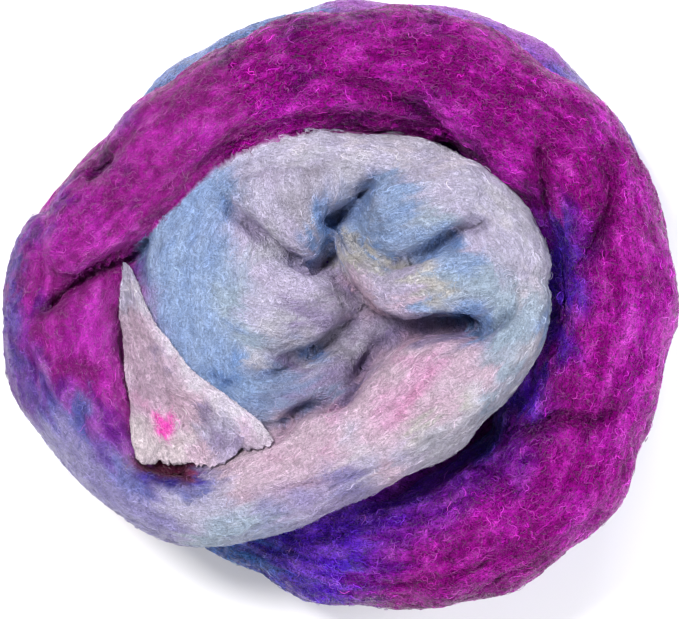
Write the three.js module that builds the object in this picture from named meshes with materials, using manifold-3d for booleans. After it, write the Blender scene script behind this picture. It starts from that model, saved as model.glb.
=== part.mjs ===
// Hand-dyed mulberry silk sliver, wound on itself into a loose bun.
// Millimetres, +Z up. +X is right and +Y is up in the view from above.

import * as THREE from "three";
import { mergeVertices } from "three/addons/utils/BufferGeometryUtils.js";
import Module from "manifold-3d";

const wasm = await Module();
wasm.setup();

// Driving sizes
const SECTION_POWER = 2.5; // 2 is an ellipse, more is squarer
const LUMP = 0.035; // unevenness of a strand, as a share of its half width
const TURN_PITCH = 5.6; // distance between the rings of a long turn
const UNDER_PITCH = 8; // the same in the lower layer
const FOLD_PITCH = 4.6; // distance between the rings of a short fold
const CAP_RINGS = 3; // rings that round off each end
const END_GAP = 0.6; // height of the loose end above what it lies on
const END_ACROSS = 11; // cells across the loose end
const END_ALONG = 14; // cells along the loose end
const END_THICK_ROOT = 2.6;
const END_THICK_TORN = 1.5;

// Strands
// Each row is a station of a strand: x, y, half width, underside z, crown z.

// The turn that lies below, seen only as a sliver past the upper one.
const UNDER_TURN = [
  [-35, -41, 9, 0.5, 24],
  [-49.5, -32, 11, -0.5, 26],
  [-58.5, -20, 12.5, -0.5, 27],
  [-61, -4.5, 13.5, -0.5, 27],
  [-58, 14.5, 13.5, -0.5, 27],
  [-46.5, 32.5, 12.5, -0.5, 27],
  [-30.5, 47, 13, -0.5, 27],
  [-11, 54.5, 13.5, -0.5, 27],
  [9, 56.5, 13.5, -0.5, 27],
  [30.5, 53.5, 14, -0.5, 27],
  [47, 40.5, 14, -0.5, 27],
  [58.5, 22, 14, -0.5, 27],
  [62.5, 1, 13.5, -0.5, 27],
  [58.5, -20.5, 13.5, -0.5, 27],
  [44, -37.5, 13, -0.5, 27],
  [25, -46.5, 12, -0.5, 27],
  [8, -41.5, 11.5, -0.5, 27],
  [-8, -37.5, 10.5, 0, 26],
  [-22, -31, 10, 0.5, 26],
];

// The lower layer's own winding in to the middle.
const UNDER_CORE = [
  [-14, -33, 9, 1, 25],
  [-29, -24, 10.5, 0.5, 26],
  [-37, -6, 12, 0.5, 26],
  [-33, 13, 12.5, 0.5, 26],
  [-16, 27, 13.5, 0.5, 26],
  [6, 30, 14, 0.5, 26],
  [26, 21.5, 14, 0.5, 26],
  [35, 3, 14, 0.5, 26],
  [29, -14, 12.5, 0.5, 26],
  [13, -22, 10, 1, 25],
];

// Its innermost loop.
const UNDER_EYE = [
  [24, -15, 8, 2, 24],
  [9, -19.5, 9.5, 1, 26],
  [-8, -16, 10, 1, 26],
  [-18, -2, 9.5, 1.5, 26],
  [-10, 11, 9, 2, 26],
  [6, 11, 8, 2.5, 25],
];

// The magenta turn, from where it dips under at the lower left.
const OUTER_TURN = [
  [-43, -38.5, 8.5, 1.5, 24],
  [-36.5, -45, 10, 0.5, 25],
  [-27, -49, 10.5, 1, 25],
  [-17, -52, 10.5, 2, 27],
  [-6.5, -54.5, 11.5, 4, 31],
  [6, -55.5, 12.5, 7, 35],
  [20.5, -53.5, 14, 11, 40],
  [33.5, -46.5, 15.5, 15, 44],
  [46, -36, 16.5, 18, 47],
  [54.5, -23.5, 16.5, 20, 48],
  [59, -9, 16, 21, 49],
  [60.5, 5.5, 15, 22, 49],
  [58, 19.5, 15, 22, 49],
  [51.5, 32.5, 14.5, 23, 50],
  [40, 42, 13.5, 23, 50],
  [27, 49, 13, 23, 51],
  [12.5, 52, 13.5, 24, 51],
  [-1.5, 52, 13.5, 24, 52],
  [-16, 48, 12.5, 24, 51],
  [-29.5, 41.5, 12.5, 24, 51],
  [-40.5, 33.5, 13.5, 24, 51],
  [-48.5, 25, 12.5, 24, 51.5],
  [-55.5, 18, 10.5, 25, 52],
  [-60.5, 13, 8, 26, 52],
  [-64.5, 9, 6, 28, 51],
  [-67.5, 5.5, 3.5, 30, 49],
];

// The same strand from the fold at the left, round below and up the right.
const PALE_BAND = [
  [-50.5, 23, 10.5, 22, 43],
  [-57, 10.5, 13, 21, 46.5],
  [-61, -3.5, 14, 21, 49],
  [-59.5, -18, 12.5, 21, 49],
  [-52.5, -29.5, 10.5, 21, 50],
  [-42, -39, 9.5, 22, 51],
  [-28, -42.5, 10.5, 22, 52],
  [-15, -38.5, 11, 23, 54],
  [-1, -31.5, 11.5, 24, 56],
  [12, -24.5, 13, 24, 57],
  [23, -17.5, 12.5, 24, 58],
  [33, -12.5, 10, 24, 57],
  [40, -4, 8, 24, 55.5],
  [43, 4.5, 6.5, 26, 53],
  [43, 11.5, 4.5, 30, 50],
];

// Its last turn, over the top and down the left to the torn end.
const INNER_TURN = [
  [42, 0, 7, 26, 50],
  [40, 12, 10.5, 22, 53.5],
  [30.5, 23, 12, 20, 53],
  [17, 30, 12, 20, 51],
  [2.5, 31, 11, 20, 49],
  [-12, 29.5, 12, 20, 48.5],
  [-22.5, 23, 14.5, 20, 49],
  [-28.5, 12.5, 18, 20, 49.5],
  [-29.5, 0, 18.5, 20, 49],
  [-29.5, -12, 16.5, 20, 47],
  [-28, -23, 11.5, 20, 44],
];

// The folds that fill the middle.
const FOLDS = {
  topLeftTongue: [
    [-12.5, 33.5, 17.5, 22, 53],
    [-11.5, 26.5, 16.5, 24, 53.5],
    [-10.5, 20, 11, 26, 52.5],
    [-7.5, 14.5, 7.5, 28, 50],
    [-5, 11.5, 4, 31, 47],
  ],
  topRightFlap: [
    [37, 29, 9.5, 22, 54],
    [26, 27.5, 11, 24, 56],
    [16.5, 23, 11, 25, 56],
    [8.5, 19, 9.5, 27, 54],
    [4, 18.5, 6.5, 30, 51],
  ],
  swirl: [
    [-1, 19.5, 2, 30, 47],
    [0.5, 15, 2.5, 30, 48],
    [4, 10.5, 3, 30, 48.5],
    [10, 7, 3.5, 30, 49],
  ],
  rightLobe: [
    [40.5, 7.5, 10, 24, 55],
    [29.5, 7, 10.5, 25, 55],
    [19, 5.5, 9, 27, 53.5],
    [11.5, 4, 7.5, 28, 51.5],
    [5, 6.5, 6, 29, 48.5],
    [0.5, 10, 2.5, 31, 45.5],
  ],
  blueLobe: [
    [-27.5, 7.5, 15, 20, 49.5],
    [-18, 2, 14, 22, 49.5],
    [-8.5, 0.5, 11, 26, 47.5],
    [1.5, 2, 7, 28, 43.5],
  ],
  lowerLobe: [
    [-31, -11.5, 11, 20, 47],
    [-22, -18, 10, 22, 48.5],
    [-11.5, -18.5, 8.5, 24, 48.5],
    [-1.5, -14.5, 7, 26, 46.5],
    [5.5, -8.5, 5.5, 28, 43],
  ],
};

// The packed fibre behind all of these: its middle, its radii, and half its height.
const HEART = { rx: 53, ry: 47, rz: 15, z: 19 };
const MIDDLE = { x: -1, y: -1, rx: 42, ry: 30, rz: 13, z: 27 };

// Creases
// Each is a soft trough: its half width, its depth, and points x, y along it.
const CREASES = [
  { name: "along the top band", half: 3.6, depth: 3, path: [[-4, 51.5], [7.5, 50], [13, 47], [18.5, 44], [23.5, 39.5], [27.5, 35]] },
  { name: "groove at the right", half: 4, depth: 4, path: [[45, 39], [46.5, 26], [49.5, 13], [51.5, 0], [49, -10]] },
  { name: "bent crease at the right", half: 3.4, depth: 3.2, path: [[57, 34], [61, 28], [60.5, 21], [56, 10]] },
  { name: "fold at the lower right", half: 3.6, depth: 3.4, path: [[33, -32], [42, -27.5], [50, -25], [60, -25.5]] },
  { name: "dent in the lower band", half: 3.4, depth: 1.8, path: [[28, -36], [38, -39]] },
  { name: "dent at the upper left", half: 4, depth: 2.4, path: [[-58, 29], [-50, 35.5]] },
  { name: "fold below the left end", half: 3.6, depth: 2.4, path: [[-68, 3], [-58, 7], [-48, 13]] },
  { name: "dents in the blue lobe", half: 3.2, depth: 1.8, path: [[-28.5, -14], [-23, -16.5], [-16, -15]] },
];

// The loose end
// Each row runs from the root to the torn edge: left x, y, middle x, y, right x, y.
const END_ROWS = [
  [-47.5, 10.5, -46.8, 10, -46, 9.5],
  [-48.2, 4.5, -46, 4, -43.3, 3.1],
  [-48.2, -2.5, -44.5, -2.8, -40, -3.4],
  [-47.6, -9, -42.5, -8.8, -36.2, -8.2],
  [-47, -16, -40.5, -15.5, -31.8, -13.7],
  [-46.2, -21.5, -38, -21, -24.8, -18.9],
  [-45.4, -27, -34.5, -27.5, -17.4, -24.5],
  [-44.8, -31.5, -31.5, -32.8, -14.6, -28.4],
];
// How far the torn edge runs past its line, from left to right.
const TORN_EDGE = [0.2, 1.9, 0.6, 1.1, 1.4, 0.2, 1.3, 2.2, 1.2, -0.4, 0.6, 0.1];

// A station between two rows of a strand, by a smooth curve through them.
function stations(rows, pitch) {
  const spine = new THREE.CatmullRomCurve3(rows.map((r) => new THREE.Vector3(r[0], r[1], 0)), false, "centripetal");
  const size = new THREE.CatmullRomCurve3(rows.map((r) => new THREE.Vector3(r[2], r[3], r[4])), false, "centripetal");
  const fine = 400;
  const points = spine.getPoints(fine);
  const travelled = [0];
  for (let i = 1; i <= fine; i++) travelled.push(travelled[i - 1] + points[i].distanceTo(points[i - 1]));
  const total = travelled[fine];
  const cap = Math.min(Math.max(rows[0][2], rows[rows.length - 1][2]), total * 0.25);
  const middle = Math.max(2, Math.round((total - 2 * cap) / pitch));
  const steps = [];
  for (let i = 0; i < CAP_RINGS; i++) steps.push(cap * (1 - Math.cos((Math.PI / 2) * (i / CAP_RINGS))));
  for (let i = 0; i <= middle; i++) steps.push(cap + ((total - 2 * cap) * i) / middle);
  for (let i = CAP_RINGS - 1; i >= 0; i--) steps.push(total - steps[i]);
  return steps.map((s) => {
    let k = travelled.findIndex((d) => d >= s - 1e-9);
    if (k < 0) k = fine;
    const t = k / fine;
    const near = Math.min(s, total - s, cap) / cap;
    return { s, at: spine.getPoint(t), along: spine.getTangent(t), size: size.getPoint(t), end: Math.sqrt(Math.max(0, 1 - (1 - near) ** 2)) };
  });
}

// How deep the creases press at x, y.
function pressed(x, y) {
  const at = new THREE.Vector3(x, y, 0);
  const near = new THREE.Vector3();
  const line = new THREE.Line3();
  let deep = 0;
  for (const { half, depth, path } of CREASES) {
    let gap = Infinity;
    for (let i = 1; i < path.length; i++) {
      line.start.set(...path[i - 1], 0);
      line.end.set(...path[i], 0);
      gap = Math.min(gap, line.closestPointToPoint(at, true, near).distanceTo(at));
    }
    deep += depth * Math.exp(-((gap / half) ** 2));
  }
  return deep;
}

// A strand with rounded ends: a sphere's rings strung along the curve.
// The crowding draws the steps round a section to its upper side.
function strand(rows, around, pitch, crowding = 0.42) {
  const rings = stations(rows, pitch);
  const last = rings.length - 1;
  const geometry = new THREE.SphereGeometry(1, around, last);
  const position = geometry.attributes.position;
  const power = 2 / SECTION_POWER;
  for (let i = 0; i < position.count; i++) {
    const y = position.getY(i);
    const ring = rings[Math.round((Math.acos(THREE.MathUtils.clamp(y, -1, 1)) / Math.PI) * last)];
    const even = Math.atan2(position.getZ(i), position.getX(i));
    const angle = even + crowding * Math.cos(even);
    const { x: half, y: low, z: high } = ring.size;
    const swell = 1 + LUMP * (Math.sin(ring.s / 5.3 + 2 * angle) + Math.sin(ring.s / 3.1 - 3 * angle + 1.7));
    let out = Math.sign(Math.cos(angle)) * Math.abs(Math.cos(angle)) ** power * half * ring.end * swell;
    let up = Math.sign(Math.sin(angle)) * Math.abs(Math.sin(angle)) ** power * ((high - low) / 2) * ring.end;
    if (up > 0) {
      const reach = Math.hypot(out, up);
      const left = 1 - (Math.sqrt(up / reach) * pressed(ring.at.x + ring.along.y * out, ring.at.y - ring.along.x * out)) / reach;
      out *= Math.max(left, 0.2);
      up *= Math.max(left, 0.2);
    }
    position.setXYZ(i, ring.at.x + ring.along.y * out, ring.at.y - ring.along.x * out, (low + high) / 2 + up);
  }
  return geometry;
}

// A closed three.js geometry as a solid, turned right side out.
function solid(geometry) {
  geometry.deleteAttribute("normal");
  geometry.deleteAttribute("uv");
  const merged = mergeVertices(geometry, 1e-4);
  const kept = [];
  const index = merged.index.array;
  for (let i = 0; i < index.length; i += 3) {
    const [a, b, c] = [index[i], index[i + 1], index[i + 2]];
    if (a !== b && b !== c && c !== a) kept.push(a, b, c);
  }
  const vertProperties = new Float32Array(merged.attributes.position.array);
  const body = new wasm.Manifold(new wasm.Mesh({ numProp: 3, vertProperties, triVerts: new Uint32Array(kept) }));
  if (body.volume() > 0) return body;
  for (let i = 0; i < kept.length; i += 3) [kept[i], kept[i + 1]] = [kept[i + 1], kept[i]];
  return new wasm.Manifold(new wasm.Mesh({ numProp: 3, vertProperties, triVerts: new Uint32Array(kept) }));
}

// A solid back as a three.js geometry.
function surface(body) {
  const mesh = body.getMesh();
  const geometry = new THREE.BufferGeometry();
  geometry.setAttribute("position", new THREE.Float32BufferAttribute(mesh.vertProperties, 3));
  geometry.setIndex(new THREE.BufferAttribute(mesh.triVerts, 1));
  geometry.computeVertexNormals();
  return geometry;
}

// Where a geometry's top is at x, y, and which way it faces there.
function topOf(mesh, x, y) {
  const down = new THREE.Raycaster(new THREE.Vector3(x, y, 200), new THREE.Vector3(0, 0, -1));
  const [hit] = down.intersectObject(mesh);
  return hit ? { z: hit.point.z, normal: hit.face.normal } : { z: 40, normal: new THREE.Vector3(0, 0, 1) };
}

// A round mass of packed fibre.
function mound({ x = 0, y = 0, z, rx, ry, rz }) {
  const geometry = new THREE.SphereGeometry(1, 24, 10);
  geometry.rotateX(Math.PI / 2);
  geometry.scale(rx, ry, rz);
  geometry.translate(x, y, z);
  return geometry;
}

// The wound form, cut level where it rests.
function woundForm() {
  let body = solid(mound(HEART)).add(solid(mound(MIDDLE)));
  body = body.add(solid(strand(UNDER_TURN, 16, UNDER_PITCH, 0)));
  body = body.add(solid(strand(UNDER_CORE, 16, UNDER_PITCH, 0)));
  body = body.add(solid(strand(UNDER_EYE, 12, UNDER_PITCH, 0)));
  body = body.add(solid(strand(OUTER_TURN, 22, TURN_PITCH)));
  body = body.add(solid(strand(PALE_BAND, 20, TURN_PITCH)));
  body = body.add(solid(strand(INNER_TURN, 20, TURN_PITCH)));
  for (const rows of Object.values(FOLDS)) body = body.add(solid(strand(rows, 16, FOLD_PITCH)));
  const above = new THREE.BoxGeometry(400, 400, 200);
  above.translate(0, 0, 100);
  return body.intersect(solid(above));
}

// The loose end: a sheet laid over what is below it.
function looseEnd(target) {
  const across = END_ACROSS + 1;
  const along = END_ALONG + 1;
  const sides = [0, 2, 4].map((c) => new THREE.CatmullRomCurve3(END_ROWS.map((r) => new THREE.Vector3(r[c], r[c + 1], 0))));
  const plan = [];
  for (let j = 0; j < along; j++) {
    const v = j / END_ALONG;
    const [left, middle, right] = sides.map((curve) => curve.getPoint(v));
    for (let i = 0; i < across; i++) {
      const u = i / END_ACROSS;
      const point = new THREE.Vector3()
        .addScaledVector(left, (1 - u) * (1 - 2 * u))
        .addScaledVector(middle, 4 * u * (1 - u))
        .addScaledVector(right, u * (2 * u - 1));
      point.y -= TORN_EDGE[i] * v ** 6;
      plan.push(point);
    }
  }
  const reach = 1.4;
  const about = [[0, 0], [reach, 0], [-reach, 0], [0, reach], [0, -reach]];
  const floor = plan.map((p) => END_GAP + Math.max(...about.map(([dx, dy]) => topOf(target, p.x + dx, p.y + dy).z)));
  let height = floor.slice();
  for (let pass = 0; pass < 20; pass++) {
    height = height.map((_, k) => {
      const i = k % across;
      const j = Math.floor(k / across);
      const near = [];
      if (i > 0) near.push(height[k - 1]);
      if (i < END_ACROSS) near.push(height[k + 1]);
      if (j > 0) near.push(height[k - across]);
      if (j < END_ALONG) near.push(height[k + across]);
      return Math.max(floor[k], near.reduce((a, b) => a + b, 0) / near.length);
    });
  }
  const geometry = new THREE.BoxGeometry(1, 1, 1, END_ACROSS, END_ALONG, 1);
  const position = geometry.attributes.position;
  for (let n = 0; n < position.count; n++) {
    const i = Math.round((position.getX(n) + 0.5) * END_ACROSS);
    const j = Math.round((0.5 - position.getY(n)) * END_ALONG);
    const k = j * across + i;
    const thick = THREE.MathUtils.lerp(END_THICK_ROOT, END_THICK_TORN, j / END_ALONG);
    const top = position.getZ(n) > 0;
    position.setXYZ(n, plan[k].x, plan[k].y, height[k] + (top ? thick : 0));
  }
  return geometry;
}

const rollGeometry = surface(woundForm());
const endGeometry = surface(solid(looseEnd(new THREE.Mesh(rollGeometry))));

const roll = new THREE.Mesh(rollGeometry, new THREE.MeshStandardMaterial({ color: "#a3209a", roughness: 0.55, metalness: 0 }));
roll.name = "silk_roll";

const end = new THREE.Mesh(endGeometry, new THREE.MeshStandardMaterial({ color: "#cdb2cb", roughness: 0.55, metalness: 0 }));
end.name = "loose_end";

// The origin is under the middle of the whole thing, on the surface it rests on.
const bun = new THREE.Group();
bun.add(roll, end);
const box = new THREE.Box3().setFromObject(bun);
const middle = box.getCenter(new THREE.Vector3());
bun.position.set(-middle.x, -middle.y, -box.min.z);
bun.updateMatrixWorld(true);

export default bun;
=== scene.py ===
import math

import bpy
import numpy as np
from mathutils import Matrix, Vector
from mathutils.bvhtree import BVHTree


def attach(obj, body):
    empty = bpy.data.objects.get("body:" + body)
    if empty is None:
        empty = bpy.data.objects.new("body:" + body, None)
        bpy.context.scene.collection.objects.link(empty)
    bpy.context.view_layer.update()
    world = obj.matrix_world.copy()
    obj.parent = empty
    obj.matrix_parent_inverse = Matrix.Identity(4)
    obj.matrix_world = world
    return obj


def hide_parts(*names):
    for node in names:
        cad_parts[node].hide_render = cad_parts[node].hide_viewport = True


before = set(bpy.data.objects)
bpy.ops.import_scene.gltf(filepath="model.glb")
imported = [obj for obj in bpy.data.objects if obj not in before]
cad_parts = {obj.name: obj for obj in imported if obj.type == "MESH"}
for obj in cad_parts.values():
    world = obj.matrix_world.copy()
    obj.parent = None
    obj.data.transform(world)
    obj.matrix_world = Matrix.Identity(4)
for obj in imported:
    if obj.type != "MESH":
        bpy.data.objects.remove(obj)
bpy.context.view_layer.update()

bl_info = {
    "name": "Wound Silk Sliver",
    "version": (1, 0, 0),
    "blender": (4, 5, 0),
    "location": "View3D > Sidebar > Silk",
    "description": "A hand-dyed mulberry silk sliver wound into a loose bun, with its filaments",
    "category": "Object",
}

MM = 0.001
MIDDLE_X, MIDDLE_Y = -0.8466, -1.2845  # where the tables' zero lies in the frame, in mm
SQUARENESS = 2.5  # of a strand's section: 2 is an ellipse
DEEPEST_DYE_AND_SHADE = 1.4  # power of the colour past which it gets no darker: the dye's uptake and the painted shade of the creases together
PALE_ROUGH = 0.55  # how crumpled the pale silk is, against the dyed silk's 1
SILK_IOR = 1.54
GIRTH = 80.0  # round a strand, in mm, past which the map from the crown starts again
FILAMENT_POINTS = 6
CREASE_FLOOR = 26  # no crease reaches below this height, in mm

# Dyes, each with its colour and where it shows; some also stand for painted shade and painted highlight, as
# noted
DYES_AND_PAINTED_LIGHT = {
    "magenta": ("#98128C", "most of the upper turn"),
    # fuchsia is a lighter magenta dye, and painted highlight on the swells and ridges of the upper turn
    "fuchsia_and_highlight": ("#B826B4", "the lighter swells of the upper turn"),
    # rose is a painted highlight on the right wall
    "rose_highlight": ("#BE3CB4", "the right wall where it catches the light"),
    # aubergine is painted shade along the top edge and in the creases
    "aubergine_shade": ("#6A0C6E", "the darker top edge and creases"),
    # plum is dye between magenta and violet, and painted shade beside the groove at the right and in the dent
    # at the upper left
    "plum_and_shade": ("#7A1A98", "between magenta and violet"),
    "violet": ("#6E36CC", "the lower band below the core"),
    # indigo is blue dye in the lower bands, and painted shade in the groove beside the core
    "indigo_and_groove_shade": ("#40309E", "the groove beside the core"),
    "periwinkle": ("#6A58D2", "the pale blue glow in the lower band"),
    "blue": ("#4460AC", "the blue patches of the bands"),
    "teal": ("#386CB2", "the tail that dips under the band"),
    "heather": ("#6C50A8", "the outer rim at the left"),
    # crimson is painted shade in the hollow below the loose end
    "crimson_hollow_shade": ("#6C1444", "the hollow below the loose end"),
    # cornflower is blue dye on the lower sliver, and painted shade in the creases of the core
    "cornflower_and_crease_shade": ("#7896C8", "the creases of the core and the lower sliver"),
    "skyblue": ("#8EA4CC", "the blue lobe and the flap"),
    "steel": ("#8492B6", "the shaded side of the blue lobe"),
    "seamist": ("#A4B4C8", "faded blue"),
    "haze": ("#968EC0", "the rim of the lower left"),
    "mist": ("#C0BAD4", "the grey lilac of the core"),
    "pewter": ("#BCB9C8", "nearly undyed grey"),
    "lilac": ("#BEB4D0", "the right lobe"),
    # mauve is painted shade in the deep folds of the core and the groove of the loose end
    "mauve_fold_shade": ("#9486AC", "the deep folds of the core"),
    "dove": ("#CAB2C8", "the greyed pink of the loose end"),
    "slate": ("#6C70B4", "the blue patches of the lower left"),
    "ash": ("#A8A2B4", "the shaded middle"),
    "cream": ("#BCB8B6", "undyed silk in the swirl"),
    "oyster": ("#D0C2CA", "the undyed lower edge of the loose end"),
    "pearl": ("#D4CCDA", "the ridge of the loose end"),
    "shellpink": ("#D0B6CA", "the pale band"),
    "blush": ("#D6A6CA", "the pinker middle of the band"),
    "rosepink": ("#CC90B8", "the pink spots"),
    "hotpink": ("#EE3CBC", "the bright spot on the loose end"),
    "orchid": ("#A85CBC", "the sliver along the top"),
}

# Strands
# Each row is a station: x, y, half width, underside z, crown z, in millimetres.

# The turn that lies below, seen only as a sliver past the upper one.
UNDER_TURN = [
    (-35, -41, 9, 0.5, 24), (-49.5, -32, 11, -0.5, 26), (-58.5, -20, 12.5, -0.5, 27),
    (-61, -4.5, 13.5, -0.5, 27), (-57.5, 14.5, 13.3, -0.5, 27), (-45.2, 31.3, 12, -0.5, 27),
    (-30, 46.2, 12.3, -0.5, 27), (-11, 54.5, 13.7, -0.5, 27), (9, 57.2, 13.9, -0.5, 27),
    (30.5, 53.5, 14, -0.5, 27), (48, 41.6, 14.3, -0.5, 27), (58.5, 22, 14, -0.5, 27),
    (62.5, 1, 13.5, -0.5, 27), (58.5, -20.5, 13.5, -0.5, 27), (44, -37.5, 13, -0.5, 27),
    (25, -46.5, 12, -0.5, 27), (8, -41.5, 11.5, -0.5, 27), (-8, -37.5, 10.5, 0, 26),
    (-22, -31, 10, 0.5, 26),
]

# The lower layer's own winding in to the middle.
UNDER_CORE = [
    (-14, -33, 9, 1, 25), (-29, -24, 10.5, 0.5, 26), (-37, -6, 12, 0.5, 26), (-33, 13, 12.5, 0.5, 26),
    (-16, 27, 13.5, 0.5, 26), (6, 30, 14, 0.5, 26), (26, 21.5, 14, 0.5, 26), (35, 3, 14, 0.5, 26),
    (29, -14, 12.5, 0.5, 26), (13, -22, 10, 1, 25),
]

# Its innermost loop.
UNDER_EYE = [
    (24, -15, 8, 2, 24), (9, -19.5, 9.5, 1, 26), (-8, -16, 10, 1, 26), (-18, -2, 9.5, 1.5, 26),
    (-10, 11, 9, 2, 26), (6, 11, 8, 2.5, 25),
]

# The magenta turn, from where it dips under at the lower left.
OUTER_TURN = [
    (-40, -37, 8, 1.5, 24), (-33.5, -42.5, 8.5, 0.5, 25), (-25.5, -46.8, 9.5, 1, 25),
    (-16.5, -50.5, 10, 2, 27), (-6.5, -54, 11.5, 4, 31), (6, -55.5, 12.5, 7, 35),
    (20.5, -53.5, 14, 11, 40), (34.2, -47.4, 15.8, 15, 44), (46.6, -36.8, 16.6, 18, 47),
    (53, -23.3, 15.8, 20, 48), (58, -9, 15.6, 21, 49), (60, 5.5, 14.8, 22, 49),
    (57.3, 19.5, 14.8, 22, 49), (51, 32.6, 14.3, 23, 50), (39.6, 42.2, 13.6, 23, 50),
    (27.4, 50, 13.6, 23, 51), (12.6, 53, 14, 24, 51), (-1.5, 52.6, 13.8, 24, 52),
    (-16, 48.6, 13.2, 24, 51), (-28.8, 41.6, 12.6, 24, 51), (-39.4, 33, 12.6, 24, 51),
    (-48, 25, 12, 24, 51.5), (-55.5, 18, 10.5, 25, 52),
    (-60.5, 13, 8, 26, 52), (-64.5, 9, 6, 28, 51), (-67.5, 5.5, 3.5, 30, 49),
]

# How it starts and stops where its slanting end is one skin with the core.
OUTER_LEAD = [
    (-1.5, 52.6, 12.4, 25, 49.5), (-16, 48.6, 12.8, 24.3, 50.7), (-28.8, 41.6, 12.9, 23.8, 51.3),
]
OUTER_TAIL = [
    (-39.2, 32.5, 11.4, 24.6, 50.2), (-46.5, 26, 9.8, 26, 48.5), (-52.5, 20, 7.5, 28, 46.5),
]
# The left rim, where the slanting end and the band below it run together.
RIM = [
    (-62, 21, 5, 24, 47), (-67.5, 12, 5.5, 23, 47.5), (-70, 3, 5, 22, 46.5), (-71, -6, 4, 22, 44),
]

# The same strand from the fold at the left, round below and up the right.
PALE_BAND = [
    (-50.5, 23, 10.5, 22, 43), (-57, 10.5, 13, 21, 46.5), (-61.5, -3.5, 14, 21, 49),
    (-59, -18, 12.2, 21, 49), (-52, -29.5, 10.5, 21, 50), (-42, -39, 9.5, 22, 51),
    (-28, -42.5, 10.5, 22, 52), (-15, -38.5, 11, 23, 54), (-1, -31.5, 11.5, 24, 56),
    (12, -24.5, 13, 24, 57), (22.5, -17.5, 12.2, 24, 58), (32, -11.5, 9.5, 24, 57),
        (38, -4, 8, 24, 55.5),
    (41, 4.5, 6, 26, 53), (41, 11.5, 4.5, 30, 50),
]

# Its last turn, over the top and down the left to the torn end.
INNER_TURN = [
    (40, 0, 7, 26, 50), (38, 10.5, 9.3, 22, 53.5), (28.8, 20.8, 10.8, 20, 53),
        (15.5, 27.5, 10.8, 20, 51),
    (2, 29.6, 10.8, 20, 49), (-12, 29, 11.8, 20, 48.5), (-22.5, 23, 14.5, 20, 49),
    (-28.5, 12.5, 18, 20, 49.5), (-29.5, 0, 18.5, 20, 49), (-29.5, -12, 16.5, 20, 47),
    (-28, -23, 11.5, 20, 44),
]

# The folds that fill the middle.
FOLDS = {
    "top_left_tongue": [
        (-12.5, 33.5, 17.5, 22, 53), (-11.5, 26.5, 16.5, 24, 53.5), (-10.5, 20, 11, 26, 52.5),
        (-7.5, 14.5, 7.5, 28, 50), (-5, 11.5, 4, 31, 47),
    ],
    "top_right_flap": [
        (34, 22.5, 7, 22, 54), (25.5, 24.2, 9.5, 24, 56), (16.5, 22.5, 10.8, 25, 56),
        (8.5, 19, 9.5, 27, 54),
        (4, 18.5, 6.5, 30, 51),
    ],
    "swirl": [
        (-1, 19.5, 2, 30, 47), (0.5, 15, 2.5, 30, 48), (4, 10.5, 3, 30, 48.5), (10, 7, 3.5, 30, 49),
    ],
    "right_lobe": [
        (40.5, 7.5, 10, 24, 55), (29.5, 7, 10.5, 25, 55), (19, 5.5, 9, 27, 53.5),
        (11.5, 4, 7.5, 28, 51.5), (5, 6.5, 6, 29, 48.5), (0.5, 10, 2.5, 31, 45.5),
    ],
    "blue_lobe": [
        (-27.5, 7.5, 15, 20, 49.5), (-18, 2, 14, 22, 49.5), (-8.5, 0.5, 11, 26, 47.5),
        (1.5, 2, 7, 28, 43.5),
    ],
    "lower_lobe": [
        (-31, -11.5, 11, 20, 47), (-22, -18, 10, 22, 48.5), (-11.5, -18.5, 8.5, 24, 48.5),
        (-1.5, -14.5, 7, 26, 46.5), (5.5, -8.5, 5.5, 28, 43),
    ],
}
# Packed fibre behind all of these: middle x, y, z and the three radii.
HEART = (0, 0, 19, 53, 47, 15)
PACKING = [
    (-1, -1, 27, 42, 30, 13), (20, -5, 34, 16, 7, 9), (1, 19, 34, 9, 7, 11), (-40, -30, 30, 12, 10, 11),
]


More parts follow.
